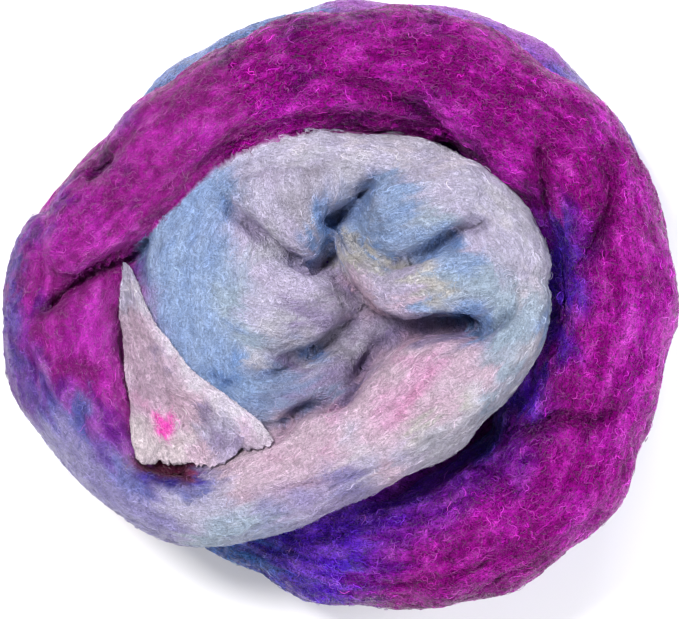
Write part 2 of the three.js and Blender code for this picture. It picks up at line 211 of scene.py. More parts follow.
# Creases
# Each row is a crease: what it is, its half width, its depth, and points x, y along it.
OUTER_CREASES = [
    ("dip against the core, top", 2.4, 3.0, [(-38, 20), (-29.5, 31), (-15, 39), (0, 41.5), (15, 39.5),
        (28.5, 32), (38, 25)]),
    ("dip against the core, right", 3.0, 2.6, [(40.5, 22), (46.5, 11), (48, -1), (45.5, -12),
        (38, -23.5),
        (29, -32), (16, -39.5), (0, -43.5)]),
    ("along the top band", 1.8, 4.2, [(-2, 50), (1.5, 50), (7, 49), (13, 46), (17.5, 44), (23, 39),
        (26.5, 34.5), (30.5, 31.5)]),
    ("streak in the top band", 1.3, 1.0, [(-23, 55), (-17, 56.5), (-10.5, 56), (-6, 54)]),
    ("fold at the upper right", 1.8, 5.0, [(44, 38.5), (44, 33.5), (44.5, 30), (45, 25), (45.5, 20.5)]),
    ("groove beside the core", 3.4, 3.6, [(45.5, 20.5), (47.5, 15), (49, 8.5), (48.5, 1), (47.5, -7)]),
    ("bent crease at the right", 1.9, 4.6, [(56, 35), (58.5, 31), (59.5, 27.5), (59.5, 23),
        (57.5, 17.5), (55, 12), (51.5, 4)]),
    ("fold at the lower right", 1.9, 5.0, [(34, -31.5), (38.5, -28), (42, -26.5), (48.5, -24.5),
        (57, -24.5), (62.5, -21.5)]),
    ("dent in the lower band", 1.6, 2.6, [(28.5, -35), (32.5, -36.5), (36.5, -38)]),
    ("dent at the upper left", 2.4, 3.6, [(-56, 28.5), (-53, 31.5), (-49.5, 34.5)]),
    ("below the slanting end", 1.4, 2.6, [(-43, 15), (-51, 10.5), (-57.5, 6.5), (-64, 2)]),
    ("pit at its tip", 2.0, 2.0, [(-66, 0.5), (-63.5, 2), (-61, 4)]),
    ("ridge in the lower band", 1.2, -0.7, [(19, -63), (24.5, -57), (29.5, -51)]),
    ("second ridge in the lower band", 1.2, -0.6, [(24, -64), (28.5, -58), (33.5, -52.5)]),
    ("ridge in the top band", 1.3, -0.7, [(21.5, 46), (25.5, 42), (30.5, 41.5), (35.5, 46)]),
    ("ridge at the upper right", 1.2, -0.6, [(35, 37), (39.5, 38.5), (44.5, 35)]),
    ("line down the right wall", 1.3, 0.8, [(55, 43), (63.5, 29.5), (67.5, 15), (68.5, 2),
        (66, -13.5), (61, -28.5)]),
    ("second line down the right wall", 1.1, 0.6, [(59.5, 41.5), (67.5, 26), (70.5, 8.5), (70, -7)]),
    ("line in the left of the top band", 1.4, 0.9, [(-41.5, 23), (-33.5, 31.5), (-24, 39), (-13, 44)]),
    ("line in the lower band", 1.4, 0.9, [(-2, -60.5), (13.5, -61.5), (28.5, -58), (42, -51.5)]),
]
CORE_CREASES = [
    ("below the tongue", 1.5, 5.0, [(-25.5, 24.5), (-23.5, 21), (-18.5, 17), (-13.5, 13), (-8.5, 10),
        (-5, 9), (-2.5, 11), (-1.5, 15), (-2, 19)]),
    ("slit beside the tongue", 1.8, 7.0, [(-3, 19), (-0.5, 20), (1.5, 21), (3.5, 23), (5, 26),
        (7, 29.5)]),
    ("inside the swirl", 1.0, 1.6, [(-1.5, 19.5), (1, 16.5), (3.5, 11.5), (7.5, 9)]),
    ("below the flap", 1.5, 4.2, [(33.5, 20.5), (29.5, 18), (26, 17), (19.5, 13), (14.5, 10.5),
        (10, 9.5)]),
    ("below the right lobe", 1.8, 5.2, [(-2, 10.5), (0, 7.5), (2.5, 4), (4.5, 1.5), (7, -1),
        (10.5, -3), (14.5, -4), (20, -2.5), (26, -2), (31.5, -3.5), (35, -2), (38, 0)]),
    ("hollow below the right lobe", 3.2, 3.2, [(10.5, -4.5), (15.5, -5), (22, -4), (28.5, -5),
        (32.5, -6.5)]),
    ("across the middle", 1.8, 4.2, [(4.5, 0.5), (3, -2), (0, -5), (-3.5, -8), (-7, -10),
        (-10.5, -11), (-14, -13), (-17, -14.5)]),
    ("between the blue lobe and the band", 1.6, 4.2, [(-14.5, -28), (-12.5, -26), (-10.5, -23.5),
        (-7, -21.5), (-3, -21), (0.5, -20), (3, -16.5), (5.5, -12), (8, -8.5), (10.5, -6.5)]),
    ("dents in the blue lobe", 1.6, 1.4, [(-28.5, -14), (-26, -15.5), (-23, -16)]),
    ("behind the loose end", 1.6, 2.0, [(-42, 17), (-43.5, 13.5), (-43.5, 9), (-42, 4.5)]),
    ("line along the band", 1.4, 0.7, [(-25, -43), (-11.5, -38.5), (-1, -37), (11, -33.5),
        (22, -28.5)]),
    ("hollow below the loose end", 3.0, 4.0, [(-43.5, -32), (-40.5, -34), (-36.5, -35),
        (-33.5, -34.5)]),
    ("pull below the hollow", 1.2, 1.0, [(-33.5, -35), (-32.5, -39), (-30.5, -43)]),
    ("dent in the left band", 2.2, 1.6, [(-56.5, -20), (-56, -24.5), (-54.5, -28.5)]),
    ("dimple in the left band", 2.8, 1.4, [(-57, -12.5), (-54.5, -13.5), (-52.5, -12.5)]),
    ("line along the left rim", 1.5, 0.8, [(-68, -8), (-65.5, -15.5), (-61.5, -22)]),
    ("below the slanting end", 1.8, 7.0, [(-44, 14.5), (-47.5, 12.5), (-51, 10), (-57.5, 6),
        (-63.5, 1.5),
        (-67, -1.5)]),
    ("swell below it", 4.0, -1.6, [(-62, -3), (-57, 0.5), (-51, 3.5)]),
]

# Dye and painted light
# Each row is a colour, dye with some painted shade and highlight, and its patches: x, y and how far each
# reaches.
OUTER_DYE_AND_PAINTED_LIGHT = [
    ("teal", [(-28, -52, 4), (-22, -55.5, 4.5)]),
    ("blue", [(-18.5, -57.5, 3), (-22.5, -50.5, 2.5), (33, -28, 2.5)]),
    # indigo: painted shade along the groove beside the core, and blue dye in the lower band
    ("indigo_and_groove_shade", [(-13.5, -55, 4.5), (-8.5, -61.5, 3), (30, -31, 3), (38, -23.5, 2.5),
        (44.5, -14.5, 2.5), (47, -4.5, 3), (48, 4, 3.5), (49, 12, 3.5), (50, 18, 2.5), (26, -34, 2)]),
    ("violet", [(-6.5, -55, 5.5), (0, -49.5, 5), (10, -43, 5), (18, -39.5, 4.5),
        (24.5, -35.5, 3), (42, -21, 2.5), (52.5, 12, 1.5), (51.5, 4, 2), (50.5, -6, 2),
        (-2, -64, 2.5), (5, -52, 4), (-1, -58, 4)]),
    ("periwinkle", [(3, -57.5, 2)]),
    # plum: dye in the lower band, and painted shade beside the groove and in the dent at the upper left
    ("plum_and_shade", [(13.5, -50.5, 5.5), (22, -44, 4.5), (7, -61.5, 4.5), (29, -37.5, 3.5),
        (37.5, -29, 3), (45, 16, 2), (54, 16, 2.5), (53.5, 20, 2), (55, 5.5, 2), (52, -8, 2),
        (-61, 25, 2), (-66, 16, 1.5), (-48, 42, 2),
        (39.5, -35.5, 3)]),
    ("magenta", [(20, -57.5, 6.5), (31, -50.5, 6.5), (44, -50.5, 7.5), (55, -37.5, 7.5),
        (57.5, -24.5, 7.5), (53, -15.5, 5.5), (57.5, -4.5, 6.5), (61.5, 8.5, 7.5), (61.5, 21.5, 6.5),
        (52, 28.5, 5.5), (44, 39.5, 6.5), (33, 48, 6.5), (22, 54.5, 6.5), (11, 54.5, 6.5),
        (-2, 54.5, 6.5), (-2, 46, 5), (-16, 50.5, 6.5), (-27, 42.5, 6.5), (-38, 32.5, 6), (-48, 24, 6),
        (-54.5, 14, 5.5), (-61, 6.5, 3.5), (13.5, -65, 3)]),
    # fuchsia: painted highlight on the swells, the right shoulder and the ridges
    ("fuchsia_and_highlight", [(66, -2.5, 5), (69.5, 11, 3.5), (64, -20, 4.5), (59.5, -29, 4.5),
        (50.5, -46.5, 4.5), (66, 24, 3), (57.5, 39.5, 2.5), (0, 46.5, 2.5), (-14, 45, 3),
        (26.5, 39.5, 3), (37.5, 28.5, 2.5), (35.5, -47.5, 4), (-52.5, 18.5, 3.5), (-57, 8, 3),
        (-62, 14, 2.5), (-56, -3, 3), (-63, -6, 2), (-30.5, 37, 3),
        (10, 51.5, 2)]),
    # rose: painted highlight down the right wall
    ("rose_highlight", [(71, -4.5, 2), (69.5, -18, 2), (66, -29, 2), (59.5, -43, 2), (52, -52, 1.5)]),
    ("heather", [(-71.5, 15, 1.2), (-72.5, 8, 1.5), (-69, 21, 1), (-73, 0, 1.5)]),
    # aubergine: painted shade on the creases and the top edge
    ("aubergine_shade", [(-51.5, 32.5, 2), (-44.5, 24, 1.5), (-47, 29, 1.5), (-8.5, 62, 2.5),
        (4.5, 64, 2.5), (-23, 57, 2), (20, 62.5, 2.5),
        (-8.5, 50.5, 3), (18, 45, 2.5), (2.5, 42.5, 2), (29, 35, 2.5), (44, 24, 2.5),
        (57.5, 17.5, 2.5), (44, -25.5, 2.5), (55, -24.5, 2)]),
]
PALE_DYE_AND_SHADE = [
    ("magenta", [(-50, 7.5, 3), (-48.5, -2.5, 3), (-47.5, -13.5, 3), (-48.5, -20, 2.5),
        (-61, -3.5, 3.5), (-55.5, -13.5, 3.5), (-63, 2.5, 3), (-64, -6, 3), (-62, -13, 2.5),
        (-56, 4.5, 3), (-46.5, -25.5, 1.5)]),
    ("fuchsia_and_highlight", [(-56, 0.5, 3), (-59, -5.5, 3), (-53.5, -8, 3), (-52, -16, 2)]),
    ("plum_and_shade", [(-67.5, -3, 2), (-66, -10, 2), (-60, -17.5, 2), (-47, 12, 2),
        (-51.5, -22.5, 1.5), (-50, -27.5, 2)]),
    ("heather", [(-72, -3, 2), (-70.5, -11, 2), (-66, -17, 2), (-62, -22, 1.5),
        (-52, -31, 2)]),
    ("slate", [(-57, -21, 1.4), (-57, -23.5, 1.4), (-56.5, -26, 1.2), (-45.5, -38, 2), (-35, -41, 1.5),
        (-62, -23, 1.5), (-30.5, -39.5, 1.5), (-49, -35, 1.5)]),
    # crimson and indigo here: painted shade in the hollow below the loose end
    ("crimson_hollow_shade", [(-42.5, -32.5, 2), (-38.5, -34.5, 2), (-34.5, -34.5, 1.5)]),
    ("indigo_and_groove_shade", [(-32.5, -36.5, 1.2), (-37.5, -37.5, 1.2), (-41, -37.5, 1)]),
    ("haze", [(-61, -29.5, 3), (-55.5, -36.5, 3), (-50, -41.5, 3), (-43.5, -46, 3),
        (-57.5, -32, 2), (-38, -48, 3), (-8.5, -40, 3), (-17.5, -46, 3), (0, -37, 3),
        (-44.5, -14.5, 1.5)]),
    ("mist", [(-32.5, -45, 3.5), (-37, -43.5, 2), (-25, -41.5, 3.5), (4.5, -33.5, 3),
        (13.5, -31, 3), (3.5, -26.5, 2), (-13, 32.5, 4), (-21.5, 31.5, 3), (-2, 37, 3.5), (7, 36, 3.5),
        (17.5, 32.5, 4), (28.5, 27, 4), (-17.5, 22.5, 2.5),
        (36.5, 17.5, 3.5), (40.5, 10.5, 3), (-17.5, 0, 3.5), (22, 24, 3.5), (28.5, 22.5, 3)]),
    ("skyblue", [(-41.5, 14, 3), (-39, 20.5, 3), (-33.5, 26, 3.5), (-28, 29.5, 3),
        (-34.5, 13, 4.5), (-32.5, 4, 4.5), (-29.5, -4.5, 4.5), (-27, -11, 3.5), (-25, 24, 2),
        (10, 24, 3), (12, 18.5, 3), (8, 27, 2), (19, 16, 2), (-19.5, -19, 3), (-27, -20, 2.5),
        (22, 11, 2.5), (27.5, 10.5, 2), (44, -4.5, 1.5), (31, -4.5, 1.5), (19, 1.5, 1.5)]),
    # cornflower here: painted shade in the creases of the core
    ("cornflower_and_crease_shade", [(-5, 14, 1.5), (-3.5, 18, 1.5), (0, 19, 1), (9.5, 10.5, 1),
        (26, 15, 1.5), (7, 13.5, 1), (-22.5, -14.5, 1.5), (-26, -16, 1.5), (-4.5, -9.5, 1.5),
        (25.5, -1.5, 1.5), (31, -2.5, 1)]),
    ("seamist", [(-24, 2, 3), (-20.5, -7, 2.5), (-24, -46, 2.5), (-17.5, -47, 2.5),
        (-30.5, -49.5, 2), (35, 2, 3), (41.5, 2, 3), (37.5, -5.5, 2.5), (31, 7.5, 2.5), (23, 7.5, 2),
        (35, -13.5, 2), (20, 20.5, 2.5), (-27, -49.5, 2), (32, -20, 2)]),
    ("pewter", [(-15, 13, 2.5), (-12, -2.5, 2.5), (-17.5, -11, 2), (41.5, 4, 2.5),
        (32, 24, 3), (20, 37, 3), (9, 39, 2.5), (35, 22.5, 2.5), (39.5, 17.5, 2), (35, -20, 2.5),
        (28.5, -24, 2.5), (22, -28.5, 2.5), (-6.5, 34.5, 2), (2.5, 31.5, 2), (40.5, -10, 2)]),
    ("cream", [(3, 16, 1), (5, 12.5, 1), (3, 10.5, 1), (17.5, 5, 1.5), (22, 4, 1.5),
        (15, 7, 1.5), (8, 9.5, 1), (26.5, -20, 1.5), (17.5, -25.5, 2)]),
    ("ash", [(-10, 24, 3), (-7, 28, 2), (-8.5, 19.5, 2), (-2, -4.5, 2), (1.5, -9, 2),
        (-9.5, -8, 2), (-6.5, -11, 2), (-2, 2, 2),
        (3.5, 2, 1.5), (8, -4.5, 1.5)]),
    ("lilac", [(-14, 5, 2.5), (-8.5, 5, 2.5), (-4, 7.5, 2), (12, 5, 2), (10, 3, 2),
        (22, 27, 2), (26.5, 20.5, 2), (-18.5, 18.5, 2.5), (-10.5, 16, 2), (-14, 28, 2), (31, 15, 2)]),
    # mauve: painted shade in the deep folds of the core
    ("mauve_fold_shade", [(-4.5, -2, 2), (-1, -1.5, 2), (-8.5, -13, 1.5), (-2, -15.5, 2),
        (2.5, -13, 2), (1.5, -19, 2), (9, -5.5, 2), (-6.5, -19, 2), (-10.5, 2, 1.5), (17.5, -4.5, 2),
        (26.5, -5.5, 2), (1.5, 4, 1.5), (-29.5, -35, 1.5), (-26, -37.5, 1.5)]),
    ("steel", [(-14, -20, 2.5), (-8.5, -17.5, 2.5), (-4, -19, 2), (-13, -23, 2),
        (-18.5, -22, 2), (-8.5, -9, 1.5), (-15, -15.5, 2)]),
    ("shellpink", [(-22.5, -35, 3.5), (-13, -33, 4), (-6.5, -28.5, 4), (0, -25.5, 3.5),
        (-8.5, -37.5, 3), (2.5, -29.5, 3.5), (11, -26.5, 3.5), (11, -34, 2.5), (7, -20, 3),
        (12, -14.5, 2.5), (17.5, -9, 2.5), (26.5, -10, 2.5), (31, -14.5, 2.5), (22, -21, 3),
        (-20.5, -39.5, 2.5), (5.5, 2, 2), (2.5, 5, 1.5), (13.5, 2, 1.5)]),
    ("blush", [(13.5, -17.5, 2.5), (17.5, -14.5, 2), (13.5, -23, 2), (10, -21, 2),
        (20, -11, 1.5), (1.5, -22.5, 1.5), (15.5, -10, 1.5), (-13, -32, 1.5), (-1, -28.5, 1.5)]),
    ("rosepink", [(18.5, -17, 1.5), (16.5, -20, 1.5), (19, -14, 1)]),
    ("pearl", [(13.5, 35, 3), (2, 36, 2.5), (24, 31.5, 2.5), (33, 22, 2.5), (41, 9, 2.2),
        (-11, 35, 2), (28, -18, 1.5), (5, -30, 2)]),
    ("orchid", [(-65, -14, 1.5), (-60, -21, 1.5), (-53, -26, 1.5), (-46, -30.5, 1.2)]),
]
END_DYE_AND_SHADE = [
    ("mist", [(-45.5, 7.5, 1.5), (-46, 2, 1.5), (-30.5, -26.5, 1.5), (-25, -25.5, 2)]),
    ("dove", [(-45.5, -4, 2.5), (-43.5, -10, 3), (-41.5, -15, 3), (-43.5, -19, 2), (-38, -17, 2),
        (-37, -12, 1.5), (-42, -5, 1.5)]),
    ("shellpink", [(-36, -20, 2), (-34, -24, 2), (-31.5, -31, 1.5), (-20.5, -26.5, 1.5),
        (-32.5, -20, 1.5)]),
    ("pearl", [(-44.5, 5, 1.2), (-42.5, 1, 1.2), (-39.5, -4.5, 1.3), (-36.8, -8, 1.3),
        (-34, -12, 1.3), (-32, -16.5, 1.3), (-27.5, -20, 1), (-22.5, -22.5, 1.2), (-18, -25.5, 1.2)]),
    ("rosepink", [(-44.5, -19.5, 1), (-43, -21, 0.8)]),
    ("hotpink", [(-38.3, -25.2, 0.9), (-36.8, -24, 0.6), (-39.2, -27, 0.7), (-40, -23.5, 0.6)]),
    ("oyster", [(-41.5, -29.5, 1.5), (-36, -30, 1.5), (-43.5, -26, 1.2), (-33, -28, 1.2)]),
    # mauve here: painted shade in the groove and folds of the loose end
    ("mauve_fold_shade", [(-29.8, -21.5, 1), (-29.6, -24.5, 1), (-29.4, -27.5, 1), (-26.5, -28.5, 1.3),
        (-22.5, -28.5, 1.2), (-25, -26, 1), (-20, -26.8, 0.8), (-40.5, -9, 0.8), (-38, -14, 0.8)]),
]
UNDER_DYE = [
    ("cornflower_and_crease_shade", [(-43, 50, 3.5), (-34, 57, 3.5), (-26, 62, 3), (-18, 65, 3), (-9, 68, 3)]),
    ("orchid", [(1.5, 69.5, 3), (11.5, 70, 3), (23, 69.5, 3), (32, 68, 3), (41.5, 64, 3),
        (48, 59, 2.5)]),
    ("periwinkle", [(16, 65, 2), (25.5, 64, 2), (34.5, 61.5, 2), (43.5, 57, 2),
        (50.5, 52.5, 2)]),
    ("haze", [(54, 53.5, 2.5), (59.5, 46.5, 2.5)]),
    ("blue", [(-72, -18.5, 2.5), (-68.5, -26.5, 2.5), (-64, -33.5, 2.5),
        (-74.5, -11.5, 2.5)]),
    ("indigo_and_groove_shade", [(76, 2, 3.5), (74.5, -16, 3.5), (69, -32, 3.5), (59.5, -48, 3.5),
        (76, 16, 3)]),
    ("violet", [(-9, -66.5, 7), (14, -66.5, 7), (37, -62, 7), (69, 29.5, 3),
        (-9, 13.5, 13.5)]),
    ("magenta", [(-32, -53, 7), (-54.5, -48, 7), (14, 2, 13.5), (-73, 11, 4.5),
        (-64, 29.5, 4.5), (-54.5, 41, 3.5)]),
]

# The torn end. Each row runs from the root to the tear: left x, y, middle x, y, right x, y.
END_ROWS = [
    (-47.5, 10.5, -46.8, 10, -46, 9.5),
    (-48.2, 4.5, -46, 4, -43.3, 3.1),
    (-48.2, -2.5, -44.5, -2.8, -40, -3.4),
    (-47.6, -9, -42.5, -8.8, -36.2, -8.2),
    (-47, -16, -40.5, -15.5, -31.8, -13.7),
    (-46.2, -21.5, -38, -21, -24.8, -18.9),
    (-45.4, -27, -34.5, -27.5, -17.4, -24.5),
    (-44.8, -31.5, -31.5, -32.8, -14.6, -28.4),
]
# How far the tear runs past its line, from left to right.
TEAR = (0.2, 1.9, 0.6, 1.1, 1.4, 0.2, 1.3, 2.2, 1.2, -0.4, 0.6, 0.1)


def linear(code):
    """An sRGB hex colour as linear red, green and blue."""
    parts = [int(code[i:i + 2], 16) / 255 for i in (1, 3, 5)]
    return tuple(c / 12.92 if c <= 0.04045 else ((c + 0.055) / 1.055) ** 2.4 for c in parts)


def length(name, description, default, low, high):
    """A property for a length, given in millimetres."""
    return bpy.props.FloatProperty(name=name, description=description, default=default * MM,
                                   min=low * MM, max=high * MM, precision=5, unit="LENGTH")


def amount(name, description, default):
    """A property for a number of filaments."""
    return bpy.props.IntProperty(name=name, description=description, default=default, min=0, max=20000)


class SilkSizes(bpy.types.PropertyGroup):
    """Sizes of the strands and their filaments."""

    turn_pitch: length("Turn pitch", "Distance between the rings of the upper turn", 0.72, 0.5, 4)
    core_pitch: length("Core pitch", "Distance between the points of the pale core", 0.76, 0.5, 4)
    under_pitch: length("Under pitch", "Distance between the points of the lower coil", 1.6, 0.8, 6)
    lump: length("Lump", "Height of the soft lumps, about 10 mm wide", 0.5, 0, 2)
    wrinkle: length("Wrinkle", "Height of the wrinkles that run with the strand", 0.3, 0, 2)
    crumple: length("Crumple", "Height of the small crumpled cells, about 3 mm wide", 0.42, 0, 2)
    filament_thickness: length(
        "Filament thickness", "Thickness of a drawn filament, which stands for a wisp of real ones",
        0.13, 0.05, 1)
    filament_step: length("Filament step", "Length of one of a filament's five steps", 0.62, 0.3, 4)
    upper_filaments: amount("Upper filaments", "How many filaments lie on the upper turn", 8400)
    pale_filaments: amount("Pale filaments", "How many filaments lie on the pale core", 8400)
    under_filaments: amount("Under filaments", "How many filaments lie on the lower coil", 1500)
    end_filaments: amount("End filaments", "How many filaments lie on the loose end", 1500)


class SilkPalette(bpy.types.PropertyGroup):
    """The dyes, and the colours of painted shade and highlight, by name."""

    __annotations__ = {
        key: bpy.props.FloatVectorProperty(
            name=key.capitalize(), description=f"Colour of {where}", default=linear(code),
            size=3, min=0, max=1, subtype="COLOR")
        for key, (code, where) in DYES_AND_PAINTED_LIGHT.items()
    }


# Shapes

def swell(points, size, seed):
    """Smooth noise from -1 to 1 whose swells are size wide."""
    q = np.asarray(points, float) / size + 7.3 * seed + 100
    cell = np.floor(q).astype(np.int64)
    f = q - cell
    f = f * f * f * (f * (f * 6 - 15) + 10)
    total = np.zeros(len(q))
    for corner in range(8):
        bits = np.array([corner & 1, corner >> 1 & 1, corner >> 2 & 1])
        at = (cell + bits) * (374761393, 668265263, 1274126177)
        n = (at.sum(axis=1) + seed * 97531) & 0xFFFFFFFF
        n = ((n ^ (n >> 13)) * 1103515245) & 0xFFFFFFFF
        n = ((n ^ (n >> 16)) * 668265263) & 0xFFFFFFFF
        n ^= n >> 15
        total += np.prod(np.where(bits, f, 1 - f), axis=1) * (n / 2147483648.0 - 1)
    return total


def smooth_curve(rows, t):
    """Points on an even curve through rows, at row numbers t."""
    rows = np.asarray(rows, float)
    held = np.vstack([2 * rows[0] - rows[1], rows, 2 * rows[-1] - rows[-2]])
    i = np.clip(np.floor(t).astype(int), 0, len(rows) - 2)
    w = (t - i)[:, None]
    p = [held[i + k] for k in range(4)]
    d = [np.maximum(np.sum((p[k + 1] - p[k]) ** 2, axis=1) ** 0.25, 1e-4)[:, None] for k in range(3)]
    a = ((p[1] - p[0]) / d[0] - (p[2] - p[0]) / (d[0] + d[1]) + (p[2] - p[1]) / d[1]) * d[1]
    b = ((p[2] - p[1]) / d[1] - (p[3] - p[1]) / (d[1] + d[2]) + (p[3] - p[2]) / d[2]) * d[1]
    return p[1] + a * w + (3 * (p[2] - p[1]) - 2 * a - b) * w ** 2 + (2 * (p[1] - p[2]) + a + b) * w ** 3


class Strand:
    """A strand's middle line with its sizes, by distance along it, in millimetres."""

    def __init__(self, rows):
        t = np.linspace(0, len(rows) - 1, 60 * len(rows))
        self.xy = smooth_curve([r[:2] for r in rows], t) + (MIDDLE_X, MIDDLE_Y)
        self.size = smooth_curve([r[2:] for r in rows], t)
        self.s = np.concatenate([[0], np.cumsum(np.linalg.norm(np.diff(self.xy, axis=0), axis=1))])
        self.length = self.s[-1]
        way = np.gradient(self.xy, axis=0)
        self.way = way / np.linalg.norm(way, axis=1)[:, None]
        self.cap = min(max(rows[0][2], rows[-1][2]), self.length * 0.25)

    def at(self, s):
        """Place, direction and sizes at distances s."""
        columns = np.hstack([self.xy, self.way, self.size])
        got = np.stack([np.interp(s, self.s, c) for c in columns.T], axis=1)
        way = got[:, 2:4] / np.linalg.norm(got[:, 2:4], axis=1)[:, None]
        return got[:, :2], way, got[:, 4], got[:, 5], got[:, 6]

    def around(self, points):
        """Distance along, distance round from the crown, direction, and how far outside the skin."""
        best = np.empty(len(points), int)
        for i in range(0, len(points), 8000):
            gap = points[i:i + 8000, None, :2] - self.xy[None, ::6]
            best[i:i + 8000] = np.einsum("ijk,ijk->ij", gap, gap).argmin(axis=1) * 6
        xy, way, size = self.xy[best], self.way[best], self.size[best]
        gap = points[:, :2] - xy
        ahead = np.einsum("ij,ij->i", gap, way)
        out = gap[:, 0] * way[:, 1] - gap[:, 1] * way[:, 0]
        tall = (size[:, 2] - size[:, 1]) / 2
        up = points[:, 2] - (size[:, 2] + size[:, 1]) / 2
        beyond = np.where((best == 0) | (best >= len(self.s) - 6), np.abs(ahead), 0)
        skin = (np.abs(out / size[:, 0]) ** SQUARENESS + np.abs(up / tall) ** SQUARENESS) ** (1 / SQUARENESS)
        turn = np.arctan2(out / size[:, 0], up / tall)
        return self.s[best] + ahead, turn * (size[:, 0] + tall) / 2, way, np.abs(skin - 1) + beyond / 12


def sweep(strand, pitch, crowding=0.42):
    """A closed strand as vertices, faces, and each vertex's distance along and round from the crown."""
    cap = strand.cap
    fine = max(5, int(cap / pitch * 0.9))
    ease = cap * (1 - np.cos(np.pi / 2 * np.arange(fine) / fine))
    middle = np.linspace(cap, strand.length - cap, max(3, int((strand.length - 2 * cap) / pitch)))
    s = np.concatenate([ease, middle, strand.length - ease[::-1]])
    near = np.minimum(np.minimum(s, strand.length - s), cap) / cap
    end = np.sqrt(np.maximum(0, 1 - (1 - near) ** 2))
    xy, way, half, low, high = strand.at(s)
    count = int(max(half.max() * 5.2 / pitch, 16))
    even = np.pi * 2 * np.arange(count) / count
    angle = even + crowding * np.cos(even)
    c, d = np.cos(angle)[None], np.sin(angle)[None]
    lump = 1 + 0.035 * (np.sin(s[:, None] / 5.3 + 2 * angle) + np.sin(s[:, None] / 3.1 - 3 * angle + 1.7))
    out = np.sign(c) * np.abs(c) ** (2 / SQUARENESS) * (half * end)[:, None] * lump
    up = np.sign(d) * np.abs(d) ** (2 / SQUARENESS) * ((high - low) / 2 * end)[:, None]
    x = xy[:, 0, None] + way[:, 1, None] * out
    y = xy[:, 1, None] - way[:, 0, None] * out
    z = ((low + high) / 2)[:, None] + up
    verts = np.stack([x, y, z], axis=2)
    turn = np.pi / 2 - angle
    turn = (turn + np.pi) % (2 * np.pi) - np.pi
    round_crown = turn[None] * ((half + (high - low) / 2) / 2)[:, None]
    rings = len(s)
    inner = np.arange(1, rings - 1)[:, None] * count + np.arange(count)[None]
    keep = np.concatenate([[0], inner.ravel(), [(rings - 1) * count]])
    number = np.full(rings * count, -1)
    number[:count] = 0
    number[inner.ravel()] = 1 + np.arange(inner.size)
    number[(rings - 1) * count:] = 1 + inner.size
    faces = []
    for r in range(rings - 1):
        a = number[r * count + np.arange(count)]
        b = number[(r + 1) * count + np.arange(count)]
        a2, b2 = np.roll(a, -1), np.roll(b, -1)
        if r == 0:
            faces += [(int(p), int(q), int(t)) for p, q, t in zip(a, b, b2)]
        elif r == rings - 2:
            faces += [(int(p), int(q), int(t)) for p, q, t in zip(a, b, a2)]
        else:
            faces += [(int(p), int(q), int(t), int(v)) for p, q, t, v in zip(a, b, b2, a2)]
    along = np.repeat(s[:, None], count, axis=1).ravel()[keep]
    return verts.reshape(-1, 3)[keep], faces, along, round_crown.ravel()[keep]


def put_in_scene(name, mesh):
    """A new object in the scene for a mesh."""
    made = bpy.data.objects.new(name, mesh)
    bpy.context.scene.collection.objects.link(made)
    return made


def shade_smooth(mesh):
    """Shades every face of a mesh smoothly."""
    mesh.polygons.foreach_set("use_smooth", np.ones(len(mesh.polygons), bool))


def evaluated(made):
    """A plain mesh from an object with its modifiers. The object is removed."""
    mesh = bpy.data.meshes.new_from_object(made.evaluated_get(bpy.context.evaluated_depsgraph_get()))
    bpy.data.objects.remove(made)
    return mesh


def read(items, key, width=1, kind=float):
    """One value of each item, as rows of width."""
    got = np.empty(len(items) * width, kind)
    items.foreach_get(key, got)
    return got.reshape(-1, width) if width > 1 else got


def lanes_at(along, across, layer=0):
    """Noise coordinates on a strand's surface, one layer of noise for each use."""
    return np.stack([along, across, np.full(len(along), float(layer))], axis=1)


def add_mesh(name, verts, faces):
    """A new object from points in millimetres, smooth, with its faces pointing out."""
    mesh = bpy.data.meshes.new(name)
    mesh.from_pydata(np.asarray(verts) * MM, [], faces)
    mesh.update()
    if volume(mesh) < 0:
        mesh.flip_normals()
    shade_smooth(mesh)
    return put_in_scene(name, mesh)


def volume(mesh):
    """The signed volume of a closed mesh."""
    mesh.calc_loop_triangles()
    p = points_of(mesh)[read(mesh.loop_triangles, "vertices", 3, np.int32)]
    return np.einsum("ij,ij->i", p[:, 0], np.cross(p[:, 1], p[:, 2])).sum() / 6


def points_of(mesh):
    """A mesh's points in millimetres."""
    return read(mesh.vertices, "co", 3) / MM


def set_points(mesh, points):
    """Moves a mesh's points, given in millimetres."""
    mesh.vertices.foreach_set("co", (np.asarray(points) * MM).ravel())
    mesh.update()


def normals_of(mesh):
    """The direction out of the surface at each point."""
    return read(mesh.vertex_normals, "vector", 3)


def fuse(name, strands, lumps, voxel):
    """Strands and round lumps joined into one skin."""
    verts, faces = [], []
    for strand in strands:
        v, f, _, _ = sweep(strand, 1.6, 0.2)
        base = sum(len(part) for part in verts)
        verts.append(v)
        faces += [tuple(i + base for i in face) for face in f]
    for x, y, z, rx, ry, rz in lumps:
        bpy.ops.mesh.primitive_uv_sphere_add(segments=64, ring_count=32, radius=1)
        ball = bpy.context.object
        base = sum(len(part) for part in verts)
        verts.append(points_of(ball.data) * MM * (rx, ry, rz) + (x + MIDDLE_X, y + MIDDLE_Y, z))
        faces += [tuple(i + base for i in p.vertices) for p in ball.data.polygons]
        bpy.data.objects.remove(ball)
    rough = add_mesh(name + "_rough", np.vstack(verts), faces)
    modifier = rough.modifiers.new("skin", "REMESH")
    modifier.mode = "VOXEL"
    modifier.voxel_size = voxel
    mesh = evaluated(rough)
    mesh.name = name
    shade_smooth(mesh)
    return put_in_scene(name, mesh)


